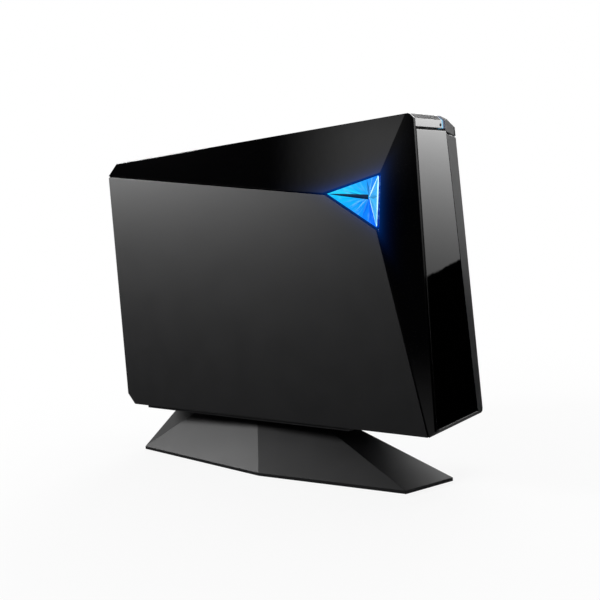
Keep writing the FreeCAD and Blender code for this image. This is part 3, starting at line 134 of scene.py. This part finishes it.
def edge_wear(g, radius):
    """Rounded normal and a mask that is one along convex edges."""
    soft = g.add("ShaderNodeBevel", {"Radius": radius}, samples=6).outputs[0]
    flat = g.add("ShaderNodeNewGeometry").outputs["Normal"]
    dot = g.add("ShaderNodeVectorMath", {0: soft, 1: flat}, operation="DOT_PRODUCT").outputs["Value"]
    return soft, g.ramp(dot, 0.995, 0.85)


def new_material(name):
    m = bpy.data.materials.new(name)
    m.use_nodes = True
    return m, Graph(m.node_tree)


def finish_surface(g, **inputs):
    shader = g.add("ShaderNodeBsdfPrincipled", inputs)
    g.add("ShaderNodeOutputMaterial", {"Surface": shader.outputs[0]})
    return shader


def plastic(
    name, color, rough, grain=0.25 * MM, depth=0.02, mottling=0.12, shine=0.5, extra=None, smear=0.12,
):
    """Moulded plastic: fine spark texture, slow tone and gloss variation, faintly worn edges."""
    m, g = new_material(name)
    soft, wear = edge_wear(g, PLASTIC_EDGE)
    slow = g.noise(14.0, 3.0)
    fine = g.noise(1.0 / grain, 1.0)
    tone = g.math("MULTIPLY_ADD", slow, 2 * mottling, 1 - mottling)
    tint = g.add("ShaderNodeVectorMath", {0: color[:3], "Scale": tone}, operation="SCALE").outputs[0]
    worn = g.mix(g.math("MULTIPLY", wear, 0.35), tint, rgb([min(1, c * 2.2 + 0.01) for c in color]))
    gloss = g.math("MULTIPLY_ADD", g.noise(60.0, 4.0), smear, rough - smear / 2)
    gloss = g.math("MULTIPLY_ADD", g.noise(1.0 / (3 * grain), 1.0), 0.05, gloss, clamp=True)
    bump = g.add("ShaderNodeBump", {"Height": fine, "Strength": depth, "Distance": grain, "Normal": soft})
    shader = finish_surface(g, **{
        "Base Color": worn, "Roughness": gloss, "Normal": bump.outputs[0], "Specular IOR Level": shine,
    })
    if extra:
        extra(g, shader)
    return m


def lacquer(name, color, rough=0.04, haze=0.02, extra=None):
    """Piano gloss: near-black under a clear skin, with faint haze, dust and orange peel."""
    m, g = new_material(name)
    soft, wear = edge_wear(g, LACQUER_EDGE)
    peel = g.noise(160.0, 1.0)
    smear = g.noise(9.0, 5.0, g.place((1.0, 0.35, 1.0)))
    dust = g.ramp(g.noise(2600.0, 0.0), 0.74, 0.80)
    body = g.mix(g.math("MULTIPLY", wear, 0.4), rgb(color), rgb([c * 2 + 0.006 for c in color]))
    body = g.mix(g.math("MULTIPLY", dust, 0.05), body, (0.25, 0.25, 0.26, 1))
    gloss = g.math("MULTIPLY_ADD", g.ramp(smear, 0.45, 0.75), haze, rough)
    bump = g.add("ShaderNodeBump", {"Height": peel, "Strength": 0.015, "Distance": 0.4 * MM, "Normal": soft})
    shader = finish_surface(g, **{"Base Color": body, "Roughness": gloss, "Normal": bump.outputs[0]})
    if extra:
        extra(g, shader)
    return m


def metal(name, color, rough, grain=(40.0, 900.0, 900.0), depth=0.12, spangle=0.0):
    """Brushed, drawn or galvanised metal."""
    m, g = new_material(name)
    soft, wear = edge_wear(g, METAL_EDGE)
    lines = g.noise(1.0, 3.0, g.place(grain))
    slow = g.noise(22.0, 3.0)
    tone = g.math("MULTIPLY_ADD", lines, 0.24, 0.80)
    if spangle:
        flakes = g.add("ShaderNodeTexVoronoi", {"Scale": 1 / spangle, "Vector": g.place()}).outputs["Color"]
        grey = g.add("ShaderNodeSeparateColor", {0: flakes}).outputs[0]
        tone = g.math("MULTIPLY_ADD", grey, 0.22, g.math("MULTIPLY", tone, 0.88))
    tint = g.add("ShaderNodeVectorMath", {0: color[:3], "Scale": tone}, operation="SCALE").outputs[0]
    tint = g.mix(g.math("MULTIPLY", wear, 0.5), tint, (0.82, 0.82, 0.83, 1))
    gloss = g.math("MULTIPLY_ADD", slow, 0.16, g.math("MULTIPLY_ADD", lines, 0.14, rough - 0.12), clamp=True)
    bump = g.add("ShaderNodeBump", {
        "Height": lines, "Strength": depth, "Distance": 0.05 * MM, "Normal": soft,
    })
    finish_surface(g, **{
        "Base Color": tint, "Metallic": 1.0, "Roughness": gloss, "Normal": bump.outputs[0],
    })
    return m


def board(name, color):
    """Solder-masked board: traces, pads and a weave under the mask."""
    m, g = new_material(name)
    flat = g.place((0.0, 1.0, 1.0))
    grid = g.add("ShaderNodeTexBrick", {
        "Vector": g.place((1.0, 1.0, 1.0)), "Scale": 240.0,
        "Mortar Size": 0.05, "Brick Width": 2.4, "Row Height": 0.5,
    })
    wavy = g.add("ShaderNodeTexWave", {
        "Vector": flat, "Scale": 190.0, "Distortion": 5.0, "Detail": 0.0, "Detail Scale": 0.4,
    }, wave_type="BANDS", bands_direction="Z")
    trace = g.ramp(wavy.outputs["Fac"], 0.72, 0.80)
    cells = g.add("ShaderNodeTexVoronoi", {"Scale": 170.0, "Vector": flat})
    pad = g.ramp(cells.outputs["Distance"], 0.20, 0.16)
    mask = g.math("MULTIPLY", trace, g.ramp(g.noise(26.0, 1.0), 0.48, 0.56))
    body = g.mix(mask, rgb(color), rgb([min(1, c * 1.9 + 0.02) for c in color]))
    body = g.mix(g.math("MULTIPLY", grid.outputs["Fac"], 0.15), body, rgb([c * 0.6 for c in color]))
    body = g.mix(pad, body, (0.70, 0.68, 0.62, 1))
    height = g.math("ADD", mask, pad)
    bump = g.add("ShaderNodeBump", {"Height": height, "Strength": 0.3, "Distance": 0.06 * MM})
    finish_surface(g, **{
        "Base Color": body, "Metallic": g.math("MULTIPLY", pad, 0.9), "Roughness": 0.32,
        "Normal": bump.outputs[0],
    })
    return m


def rubber(name, color):
    """Dull rubber with bloom and a fine pebble."""
    m, g = new_material(name)
    soft, wear = edge_wear(g, 0.3 * MM)
    bloom = g.ramp(g.noise(120.0, 4.0), 0.45, 0.75)
    body = g.mix(g.math("MULTIPLY", bloom, 0.4), rgb(color), rgb([c + 0.05 for c in color]))
    pebble = g.noise(3500.0, 2.0)
    bump = g.add("ShaderNodeBump", {
        "Height": pebble, "Strength": 0.25, "Distance": 0.1 * MM, "Normal": soft,
    })
    gloss = g.math("MULTIPLY_ADD", bloom, 0.1, 0.75)
    finish_surface(g, **{
        "Base Color": body, "Roughness": gloss, "Normal": bump.outputs[0], "Specular IOR Level": 0.25,
    })
    return m


# ---- the jewel's place, read from its CAD node ----
def gem_points():
    """Corners of the jewel on the outside of the case: rear, top, low and apex."""
    spots = [v.co.copy() for v in frame["nodes"]["gem_lens"].data.vertices]
    outer = min(p.x for p in spots)
    flat = [p for p in spots if p.x < outer + 0.02 * MM]
    rear = max(flat, key=lambda p: p.y)
    low = min(flat, key=lambda p: p.z)
    front = [p for p in spots if p.x < outer + 1.4 * MM]
    top = max(front, key=lambda p: p.z)
    inner = [p for p in flat if (p - rear).length > 2 * MM and (p - low).length > 2 * MM]
    apex = max(inner, key=lambda p: p.z)
    return rear, top, low, apex


REAR, TOP, LOW, APEX = gem_points()


def gem_halo(strength, reach):
    """Blue light spilling on the plastic round the jewel."""

    def glow(g, shader):
        place = g.place()
        middle = (REAR + TOP + LOW) / 3
        worst = None
        for a, b in ((REAR, TOP), (TOP, LOW), (LOW, REAR)):
            along = Vector((0, b.y - a.y, b.z - a.z)).normalized()
            out = Vector((0, -along.z, along.y))
            if out.dot(a - middle) < 0:
                out = -out
            shift = g.add("ShaderNodeVectorMath", {0: place, 1: tuple(a)}, operation="SUBTRACT").outputs[0]
            dot = g.add("ShaderNodeVectorMath", {0: shift, 1: tuple(out)}, operation="DOT_PRODUCT")
            d = dot.outputs["Value"]
            worst = d if worst is None else g.math("SMOOTH_MAX", worst, d, 6 * MM)
        fall = g.math("EXPONENT", g.math("MULTIPLY", g.math("MAXIMUM", worst, 0.0), -1.0 / reach))
        side = g.add("ShaderNodeSeparateXYZ", {0: place}).outputs[0]
        here = g.ramp(side, -26 * MM, -29 * MM)
        power = g.math("MULTIPLY", g.math("MULTIPLY", fall, here), strength)
        g.put(shader.inputs["Emission Color"], (0.0, 0.16, 1.0, 1))
        g.put(shader.inputs["Emission Strength"], power)

    return glow


def matte_border(g, shader):
    """Dull border of the front frame: left of the door and under the cap."""
    parts = g.add("ShaderNodeSeparateXYZ", {0: g.place()}).outputs
    left = g.ramp(parts[0], -25 * MM, -27 * MM)
    high = g.ramp(parts[2], CAP_BOTTOM - 1.7 * MM, CAP_BOTTOM - 1.4 * MM)
    under = g.math("MULTIPLY", high, g.ramp(parts[0], 4 * MM, 3 * MM))
    dull = g.math("MAXIMUM", left, under)
    g.put(shader.inputs["Specular IOR Level"], g.math("MULTIPLY_ADD", dull, -0.48, 0.5))


# ---- materials by record slot ----
MATERIALS = {
    "satin_black": plastic("satin_black", (0.020, 0.020, 0.022), 0.42, grain=0.22 * MM, depth=0.05),
    "gloss_black": lacquer("gloss_black", PIANO_BLACK, rough=0.015, haze=0.01),
    "panel_grey": plastic(
        "panel_grey", (0.005, 0.005, 0.006), 0.38, grain=0.20 * MM, depth=0.10, shine=0.70,
        extra=gem_halo(*PANEL_HALO), smear=0.05),
    "bezel_black": plastic(
        "bezel_black", (0.012, 0.012, 0.013), 0.30, grain=0.2 * MM, depth=0.03, extra=matte_border),
    "cap_grey": plastic("cap_grey", (0.010, 0.010, 0.011), 0.16, grain=0.3 * MM, depth=0.01, shine=0.7),
    "reflector": metal("reflector", (0.25, 0.5, 0.95), 0.15),
    "rubber": rubber("rubber", (0.022, 0.022, 0.022)),
    "belt_black": rubber("belt_black", (0.014, 0.014, 0.014)),
    "zinc_screw": metal("zinc_screw", (0.62, 0.62, 0.60), 0.34, spangle=0.6 * MM),
    "black_screw": metal("black_screw", (0.05, 0.05, 0.052), 0.42),
    "spring_steel": metal("spring_steel", (0.55, 0.55, 0.57), 0.28),
    "board_green": board("board_green", (0.008, 0.075, 0.032)),
    "chip_black": plastic("chip_black", (0.014, 0.014, 0.014), 0.5, grain=0.12 * MM, depth=0.12),
    "sheet_steel": metal("sheet_steel", (0.60, 0.61, 0.60), 0.36, grain=(60, 60, 1400), spangle=5 * MM),
    "socket_metal": metal("socket_metal", (0.70, 0.69, 0.66), 0.24, grain=(900, 60, 900)),
    "drive_plastic": plastic("drive_plastic", (0.022, 0.022, 0.024), 0.48, grain=0.25 * MM, depth=0.08),
    "tray_grey": plastic("tray_grey", (0.055, 0.055, 0.058), 0.42, grain=0.18 * MM, depth=0.10),
    "gear_white": plastic(
        "gear_white", (0.70, 0.68, 0.60), 0.38, grain=0.3 * MM, depth=0.02, mottling=0.05),
    "motor_can": metal("motor_can", (0.58, 0.58, 0.59), 0.26, grain=(30, 1200, 1200)),
    "steel_plate": metal("steel_plate", (0.62, 0.62, 0.61), 0.32, grain=(500, 40, 1100)),
    "polished_rod": metal("polished_rod", (0.80, 0.80, 0.80), 0.13, grain=(1500, 30, 1500), depth=0.03),
    "turntable_black": plastic("turntable_black", (0.018, 0.018, 0.019), 0.45),
    "sled_metal": metal("sled_metal", (0.46, 0.46, 0.47), 0.45, grain=(700, 700, 700), depth=0.4),
}


def facet_gloss():
    """Gloss cover with the jewel's light spilling over its facets and a dull front lip."""
    halo = gem_halo(*FACET_HALO)

    def halo_and_lip(g, shader):
        halo(g, shader)
        depth = g.add("ShaderNodeSeparateXYZ", {0: g.place()}).outputs[1]
        shine = g.ramp(depth, FRONT_FACE + 0.05 * MM, FRONT_FACE + 0.3 * MM, 0.05, 0.5)
        g.put(shader.inputs["Specular IOR Level"], shine)

    return lacquer("facet_gloss", PIANO_BLACK, extra=halo_and_lip)


def lit_strip():
    """Frosted blue light guide with a brighter core."""
    m, g = new_material("light_blue")
    low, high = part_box("status_light")
    parts = g.add("ShaderNodeSeparateXYZ", {0: g.place()}).outputs
    edge = g.ramp(parts[0], low.x + 1.5 * MM, low.x + 0.2 * MM)
    upright = g.ramp(parts[2], high.z - 0.5 * MM, high.z - 3.0 * MM)
    core = g.math("MULTIPLY", edge, upright)
    grain = g.noise(900.0, 3.0)
    color = g.mix(core, (0.001, 0.008, 0.05, 1), (0.22, 0.70, 1.0, 1))
    power = g.math("MULTIPLY_ADD", grain, 0.7, 0.55)
    finish_surface(g, **{
        "Base Color": (0.004, 0.01, 0.04, 1), "Roughness": 0.35, "Specular IOR Level": 0.10,
        "Emission Color": color, "Emission Strength": power,
    })
    return m


def ribbon():
    """Grey ribbon: one ridge per wire with painted shade in the grooves and a painted highlight on each
    crest, and one dark edge wire.
    """
    m, g = new_material("cable_grey")
    low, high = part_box("bus_cable")
    height = g.add("ShaderNodeSeparateXYZ", {0: g.place()}).outputs[2]
    wave = g.math("SINE", g.math("MULTIPLY", height, 2 * math.pi / WIRE_PITCH))
    ridge = g.math("MULTIPLY_ADD", wave, 0.5, 0.5)
    first = g.ramp(height, low.z + 2.6 * MM, low.z + 2.4 * MM)
    # painted shade and highlight: the colour follows the ridge wave, darker in the grooves and lighter on
    # the crests
    body = g.mix(g.math("MULTIPLY", ridge, 0.5), (0.20, 0.20, 0.21, 1), (0.46, 0.47, 0.49, 1))
    body = g.mix(first, body, (0.45, 0.03, 0.03, 1))
    bump = g.add("ShaderNodeBump", {"Height": ridge, "Strength": 0.8, "Distance": 0.3 * MM})
    finish_surface(g, **{"Base Color": body, "Roughness": 0.42, "Normal": bump.outputs[0]})
    return m


def foil():
    """Amber foil with copper tracks along it."""
    m, g = new_material("foil_amber")
    height = g.add("ShaderNodeSeparateXYZ", {0: g.place()}).outputs[2]
    wave = g.math("SINE", g.math("MULTIPLY", height, 2 * math.pi / TRACK_PITCH))
    track = g.ramp(wave, 0.1, 0.4)
    body = g.mix(track, (0.30, 0.12, 0.015, 1), (0.62, 0.30, 0.08, 1))
    finish_surface(g, **{"Base Color": body, "Roughness": 0.25, "Metallic": g.math("MULTIPLY", track, 0.6)})
    return m


def lens_glass():
    """Moulded lens: pale violet coating over a clear dome."""
    m, g = new_material("lens_clear")
    low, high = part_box("objective_lens")
    side = g.add("ShaderNodeSeparateXYZ", {0: g.place()})
    dome = g.ramp(side.outputs[0], low.x + 1.1 * MM, low.x + 0.8 * MM)
    view = g.add("ShaderNodeLayerWeight", {"Blend": 0.4}).outputs["Facing"]
    coat = g.mix(view, (0.18, 0.16, 0.42, 1), (0.10, 0.30, 0.34, 1))
    body = g.mix(dome, (0.02, 0.02, 0.022, 1), coat)
    gloss = g.math("MULTIPLY_ADD", dome, -0.38, 0.45)
    finish_surface(g, **{
        "Base Color": body, "Roughness": gloss, "Coat Weight": dome, "Coat Roughness": 0.03,
    })
    return m


MATERIALS["light_blue"] = lit_strip()
MATERIALS["cable_grey"] = ribbon()
MATERIALS["foil_amber"] = foil()
MATERIALS["lens_clear"] = lens_glass()
MATERIALS["clear_blue"] = MATERIALS["light_blue"]
SPECIAL = {
    "left_cover": facet_gloss(),
    "stand_base": plastic(
        "stand_black", (0.010, 0.010, 0.011), 0.42, grain=0.22 * MM, depth=0.05, shine=0.42),
}

for row in frame["record"]["subparts"]:
    node = frame["nodes"][row["node"]]
    node.data.materials.clear()
    node.data.materials.append(SPECIAL.get(row["node"], MATERIALS[row["material_slot"]]))


# ---- pieces built here ----
def new_piece(name, mesh, body, material):
    """Added piece that rides on a CAD body."""
    thing = bpy.data.objects.new(name, mesh)
    scene.collection.objects.link(thing)
    thing.data.materials.append(material)
    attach(thing, body)
    return thing


def gem_material():
    """Lit crystal: glow colour from each face's tone, which carries painted glints, with painted sparkle
    streaks round the apex.
    """
    m, g = new_material("gem_crystal")
    tone = g.add("ShaderNodeAttribute", attribute_name="tone").outputs["Color"]
    place = g.place()
    from_apex = g.add("ShaderNodeVectorMath", {0: place, 1: tuple(APEX)}, operation="SUBTRACT").outputs[0]
    parts = g.add("ShaderNodeSeparateXYZ", {0: from_apex})
    angle = g.math("ARCTAN2", parts.outputs[2], parts.outputs[1])
    streak = g.add("ShaderNodeTexNoise", {"Scale": 9.0, "Detail": 3.0, "W": angle}, noise_dimensions="4D")
    spread = g.add("ShaderNodeVectorMath", {0: from_apex, "Scale": 18.0}, operation="SCALE").outputs[0]
    g.put(streak.inputs["Vector"], spread)
    # painted sparkle: pale cyan streaks round the apex, mixed into the glow colour
    painted_sparkle = g.ramp(streak.outputs[0], 0.50, 0.72)
    color = g.mix(g.math("MULTIPLY", painted_sparkle, 0.22), tone, (0.30, 0.80, 1.0, 1))
    finish_surface(g, **{
        "Base Color": (0.01, 0.05, 0.25, 1), "Roughness": 0.22, "Specular IOR Level": 0.12,
        "Emission Color": color, "Emission Strength": 1.0,
    })
    return m


def gem_crystal():
    """Jewel: three outer planes, each cut into a fan of shallow rays round the apex."""
    mesh = bpy.data.meshes.new("gem_crystal")
    bm = bmesh.new()
    tone = bm.loops.layers.float_color.new("tone")
    sunk = Vector((GEM_SUNK, 0, 0))

    def face(points, color):
        made = bm.faces.new([bm.verts.new(p) for p in points])
        for loop in made.loops:
            loop[tone] = (*color, 1.0)

    def fan(a, b, count, inner, outer, spark):
        for index in range(count):
            p = a.lerp(b, index / count)
            q = a.lerp(b, (index + 1) / count)
            middle = (p + q) / 2
            crest = APEX.lerp(middle, 0.45) + Vector((GEM_CREST, 0, 0))
            share = (index + 0.5) / count
            base = [x + (y - x) * share for x, y in zip(inner, outer)]
            # painted glints: the two halves of each ray get a lighter and a darker copy of the glow colour,
            # and the outer triangle a slightly lighter copy
            glint_gain = 1.0 + spark * math.sin(index * 2.4) + 0.5 * spark * math.sin(index * 5.1 + 1.0)
            left = [min(1.0, c * glint_gain) for c in base]
            right = [min(1.0, c * (2.0 - glint_gain)) for c in base]
            face([APEX, p, crest], left)
            face([APEX, crest, q], right)
            face([p, q, crest], [min(1.0, c * 1.15) for c in base])

    # each fan: glow colours at its two ends, then the strength of its painted glints
    fan(REAR, TOP, 9, (0.01, 0.62, 0.95), (0.01, 0.20, 0.80), 0.30)
    fan(LOW, REAR, 7, (0.0, 0.10, 0.92), (0.0, 0.50, 1.0), 0.14)
    fan(TOP, LOW, 5, (0.03, 0.36, 0.80), (0.06, 0.42, 0.80), 0.22)
    for a, b in ((REAR, TOP), (TOP, LOW), (LOW, REAR)):
        face([a, a + sunk, b + sunk, b], (0.0, 0.03, 0.35))
    bmesh.ops.remove_doubles(bm, verts=bm.verts, dist=0.001 * MM)
    bmesh.ops.recalc_face_normals(bm, faces=bm.faces)
    bm.to_mesh(mesh)
    bm.free()
    piece = new_piece("gem_crystal", mesh, "case", gem_material())
    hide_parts("gem_lens")
    return piece


def glint_material(name, color, power, rough=0.1):
    """Painted light on an edge: emission in the given colour, flickering along it."""
    m, g = new_material(name)
    flick = g.math("MULTIPLY_ADD", g.noise(500.0, 3.0), 1.6, 0.2)
    finish_surface(g, **{
        "Base Color": rgb(color), "Roughness": rough, "Specular IOR Level": 0.08,
        "Emission Color": rgb(color), "Emission Strength": g.math("MULTIPLY", flick, power),
    })
    return m


def gem_edges():
    """Tapered triangular rods along the jewel's polished creases: three carry painted glints of the lamp,
    the rear one a dark navy band with a faint painted glow.
    """
    # painted glints on the three bright rods; the rear rod is dark navy with a faint painted glow
    bright = glint_material("arris_painted_glint", (0.55, 0.92, 1.0), 1.0)
    dark = glint_material("arris_dark", (0.0, 0.04, 0.14), 0.10, 0.45)
    plan = (
        ("gem_painted_glint_top", APEX, TOP, 0.55, bright), ("gem_painted_glint_low", APEX, LOW, 0.28, bright),
        ("gem_arris_rear", APEX, REAR, 2.6, dark), ("gem_painted_glint_side", TOP, LOW, 0.80, bright),
    )
    for name, a, b, width, material in plan:
        mesh = bpy.data.meshes.new(name)
        bm = bmesh.new()
        along = (b - a).normalized()
        across = Vector((0, -along.z, along.y)).normalized() * width * MM / 2
        out = Vector((-ARRIS_RIDGE, 0, 0))
        rows = []
        for index in range(ARRIS_STEPS + 1):
            t = index / ARRIS_STEPS
            taper = (1.0 - t) ** 0.7 if material is dark else 0.35 + 0.65 * abs(math.sin(3.0 * t + 0.4))
            spot = a.lerp(b, 0.02 + 0.95 * t)
            row = (spot + across * taper, spot + out, spot - across * taper)
            rows.append([bm.verts.new(p) for p in row])
        for one, two in zip(rows, rows[1:]):
            bm.faces.new((one[0], one[1], two[1], two[0]))
            bm.faces.new((one[1], one[2], two[2], two[1]))
        bmesh.ops.recalc_face_normals(bm, faces=bm.faces)
        bm.to_mesh(mesh)
        bm.free()
        new_piece(name, mesh, "case", material)


gem_crystal()
gem_edges()


# ---- floor, light and camera ----
def floor():
    """Pale paper floor, lit from within further out so that it stays white."""
    mesh = bpy.data.meshes.new("floor")
    bm = bmesh.new()
    bmesh.ops.create_grid(bm, x_segments=8, y_segments=8, size=FLOOR_HALF)
    bm.to_mesh(mesh)
    bm.free()
    thing = bpy.data.objects.new("floor", mesh)
    scene.collection.objects.link(thing)
    m, g = new_material("floor_paper")
    place = g.place()
    far = g.add("ShaderNodeVectorMath", {0: place}, operation="LENGTH").outputs["Value"]
    fade = g.ramp(far, 0.10, 0.45, 0.90, 1.0)
    grain = g.math("MULTIPLY_ADD", g.noise(260.0, 4.0), 0.02, 0.86)
    shade = g.add("ShaderNodeCombineColor", {0: grain, 1: grain, 2: grain}).outputs[0]
    paper = g.add("ShaderNodeBsdfDiffuse", {"Color": shade})
    light = g.add("ShaderNodeEmission", {"Color": (1, 1, 1, 1), "Strength": 1.0})
    both = g.add("ShaderNodeMixShader", {0: fade, 1: paper.outputs[0], 2: light.outputs[0]})
    g.add("ShaderNodeOutputMaterial", {"Surface": both.outputs[0]})
    thing.data.materials.append(m)
    thing.visible_glossy = False
    thing.visible_diffuse = False


def studio():
    """White room for the eye; soft boxes and dark flags for reflections."""
    world = bpy.data.worlds.new("studio")
    scene.world = world
    world.use_nodes = True
    g = Graph(world.node_tree)
    way = g.add("ShaderNodeTexCoord").outputs["Generated"]
    parts = g.add("ShaderNodeSeparateXYZ", {0: way})
    x, y, z = parts.outputs
    plan = g.math("SQRT", g.math("ADD", g.math("MULTIPLY", x, x), g.math("MULTIPLY", y, y)))
    rise = g.math("DIVIDE", z, g.math("MAXIMUM", plan, 0.001))
    turn = g.math("MULTIPLY", g.math("ARCTAN2", y, x), 180 / math.pi)

    def near(value, middle, far, close):
        """One round middle, falling to nothing at a distance of far."""
        return g.ramp(g.math("ABSOLUTE", g.math("SUBTRACT", value, middle)), far, close)

    # front-right soft box with a slanted lower edge
    lower = g.math("MULTIPLY_ADD", g.math("ADD", turn, 31.2), 0.0076, -0.0749)
    above = g.ramp(g.math("SUBTRACT", rise, lower), -0.0015, 0.0015)
    span = g.math("MULTIPLY", g.ramp(turn, -62.0, -50.0), g.ramp(turn, -2.0, -24.0, 0.05, 1.0))
    growth = g.math("EXPONENT", g.math("MULTIPLY", g.math("MINIMUM", rise, 0.16), 10.9))
    power = g.math("MULTIPLY", g.math("MULTIPLY", growth, 1.7), g.ramp(rise, 0.26, 0.60, 1.0, 0.25))
    box_one = g.math("MULTIPLY", g.math("MULTIPLY", above, span), power)
    # small soft patch for the upper facet
    patch = g.math("MULTIPLY", near(turn, 149.0, 10.0, 2.0), near(rise, 0.17, 0.13, 0.02))
    # pale floor seen in low reflections, kept away from the door
    low = g.math("MULTIPLY", g.ramp(rise, -0.12, -0.24), near(turn, 162.0, 11.0, 6.0))
    dome = g.ramp(rise, 0.45, 1.2)
    # broad boxes for the sides that the main view doesn't mirror
    height = g.math("MULTIPLY", g.ramp(rise, -0.12, 0.02), g.ramp(rise, 1.1, 0.5, 0.25, 1.0))
    sides = g.math("ADD", near(turn, -122.0, 48.0, 34.0), near(turn, 52.0, 48.0, 34.0))
    broad = g.math("MULTIPLY", height, sides)
    ground = g.ramp(rise, -0.38, -0.75)
    total = box_one
    for light, share in ((patch, 0.9), (low, 0.22), (dome, 0.25), (broad, 0.75), (ground, 0.20)):
        total = g.math("ADD", total, g.math("MULTIPLY", light, share))
    rays = g.add("ShaderNodeLightPath")
    shine = g.add("ShaderNodeBackground", {"Color": (1, 1, 1, 1), "Strength": total})
    soft = g.add("ShaderNodeBackground", {"Color": (0.97, 0.98, 1.0, 1), "Strength": 0.035})
    clear = g.add("ShaderNodeBackground", {"Color": (1, 1, 1, 1), "Strength": 1.0})
    mixed = g.add("ShaderNodeMixShader", {
        0: rays.outputs["Is Glossy Ray"], 1: soft.outputs[0], 2: shine.outputs[0],
    })
    seen = g.add("ShaderNodeMixShader", {
        0: rays.outputs["Is Camera Ray"], 1: mixed.outputs[0], 2: clear.outputs[0],
    })
    g.add("ShaderNodeOutputWorld", {"Surface": seen.outputs[0]})


def area(name, spot, aim, size, power):
    """Square lamp of the given side and watts, turned to aim."""
    lamp = bpy.data.lights.new(name, "AREA")
    lamp.shape = "SQUARE"
    lamp.size = size
    lamp.energy = power
    thing = bpy.data.objects.new(name, lamp)
    scene.collection.objects.link(thing)
    thing.location = spot
    thing.rotation_mode = "QUATERNION"
    thing.rotation_quaternion = (Vector(aim) - Vector(spot)).to_track_quat("-Z", "Y")
    return thing


def lamps():
    """One key lamp that shades the flat panel, and two wide fills."""
    area("key_rear_left", (-0.80, 1.11, 0.63), (-0.03, 0.05, 0.14), 0.30, 15.0)
    area("overhead", (0.35, -0.1, 1.5), (0, 0, 0.1), 0.9, 9.0)
    area("fill_right", (1.3, 0.6, 0.9), (0, 0, 0.1), 0.9, 16.0)


def camera():
    """Camera near eye level, turned to the jewelled side and rolled a little."""
    turn, rise, roll = (math.radians(angle) for angle in CAMERA_ANGLES)
    back = Vector((math.sin(turn) * math.cos(rise), -math.cos(turn) * math.cos(rise), math.sin(rise)))
    right = (-back).cross(Vector((0, 0, 1))).normalized()
    up = right.cross(-back)
    r = right * math.cos(roll) + up * math.sin(roll)
    u = up * math.cos(roll) - right * math.sin(roll)
    data = bpy.data.cameras.new("camera")
    data.lens = CAMERA_LENS
    data.sensor_width = CAMERA_SENSOR
    data.shift_y = CAMERA_SHIFT
    data.clip_start, data.clip_end = 0.01, 30.0
    thing = bpy.data.objects.new("camera", data)
    scene.collection.objects.link(thing)
    pose = Matrix((r, u, back)).transposed().to_4x4()
    pose.translation = Vector(CAMERA_PLACE)
    thing.matrix_world = pose
    scene.camera = thing


floor()
studio()
lamps()
camera()
scene.view_settings.view_transform = "Standard"
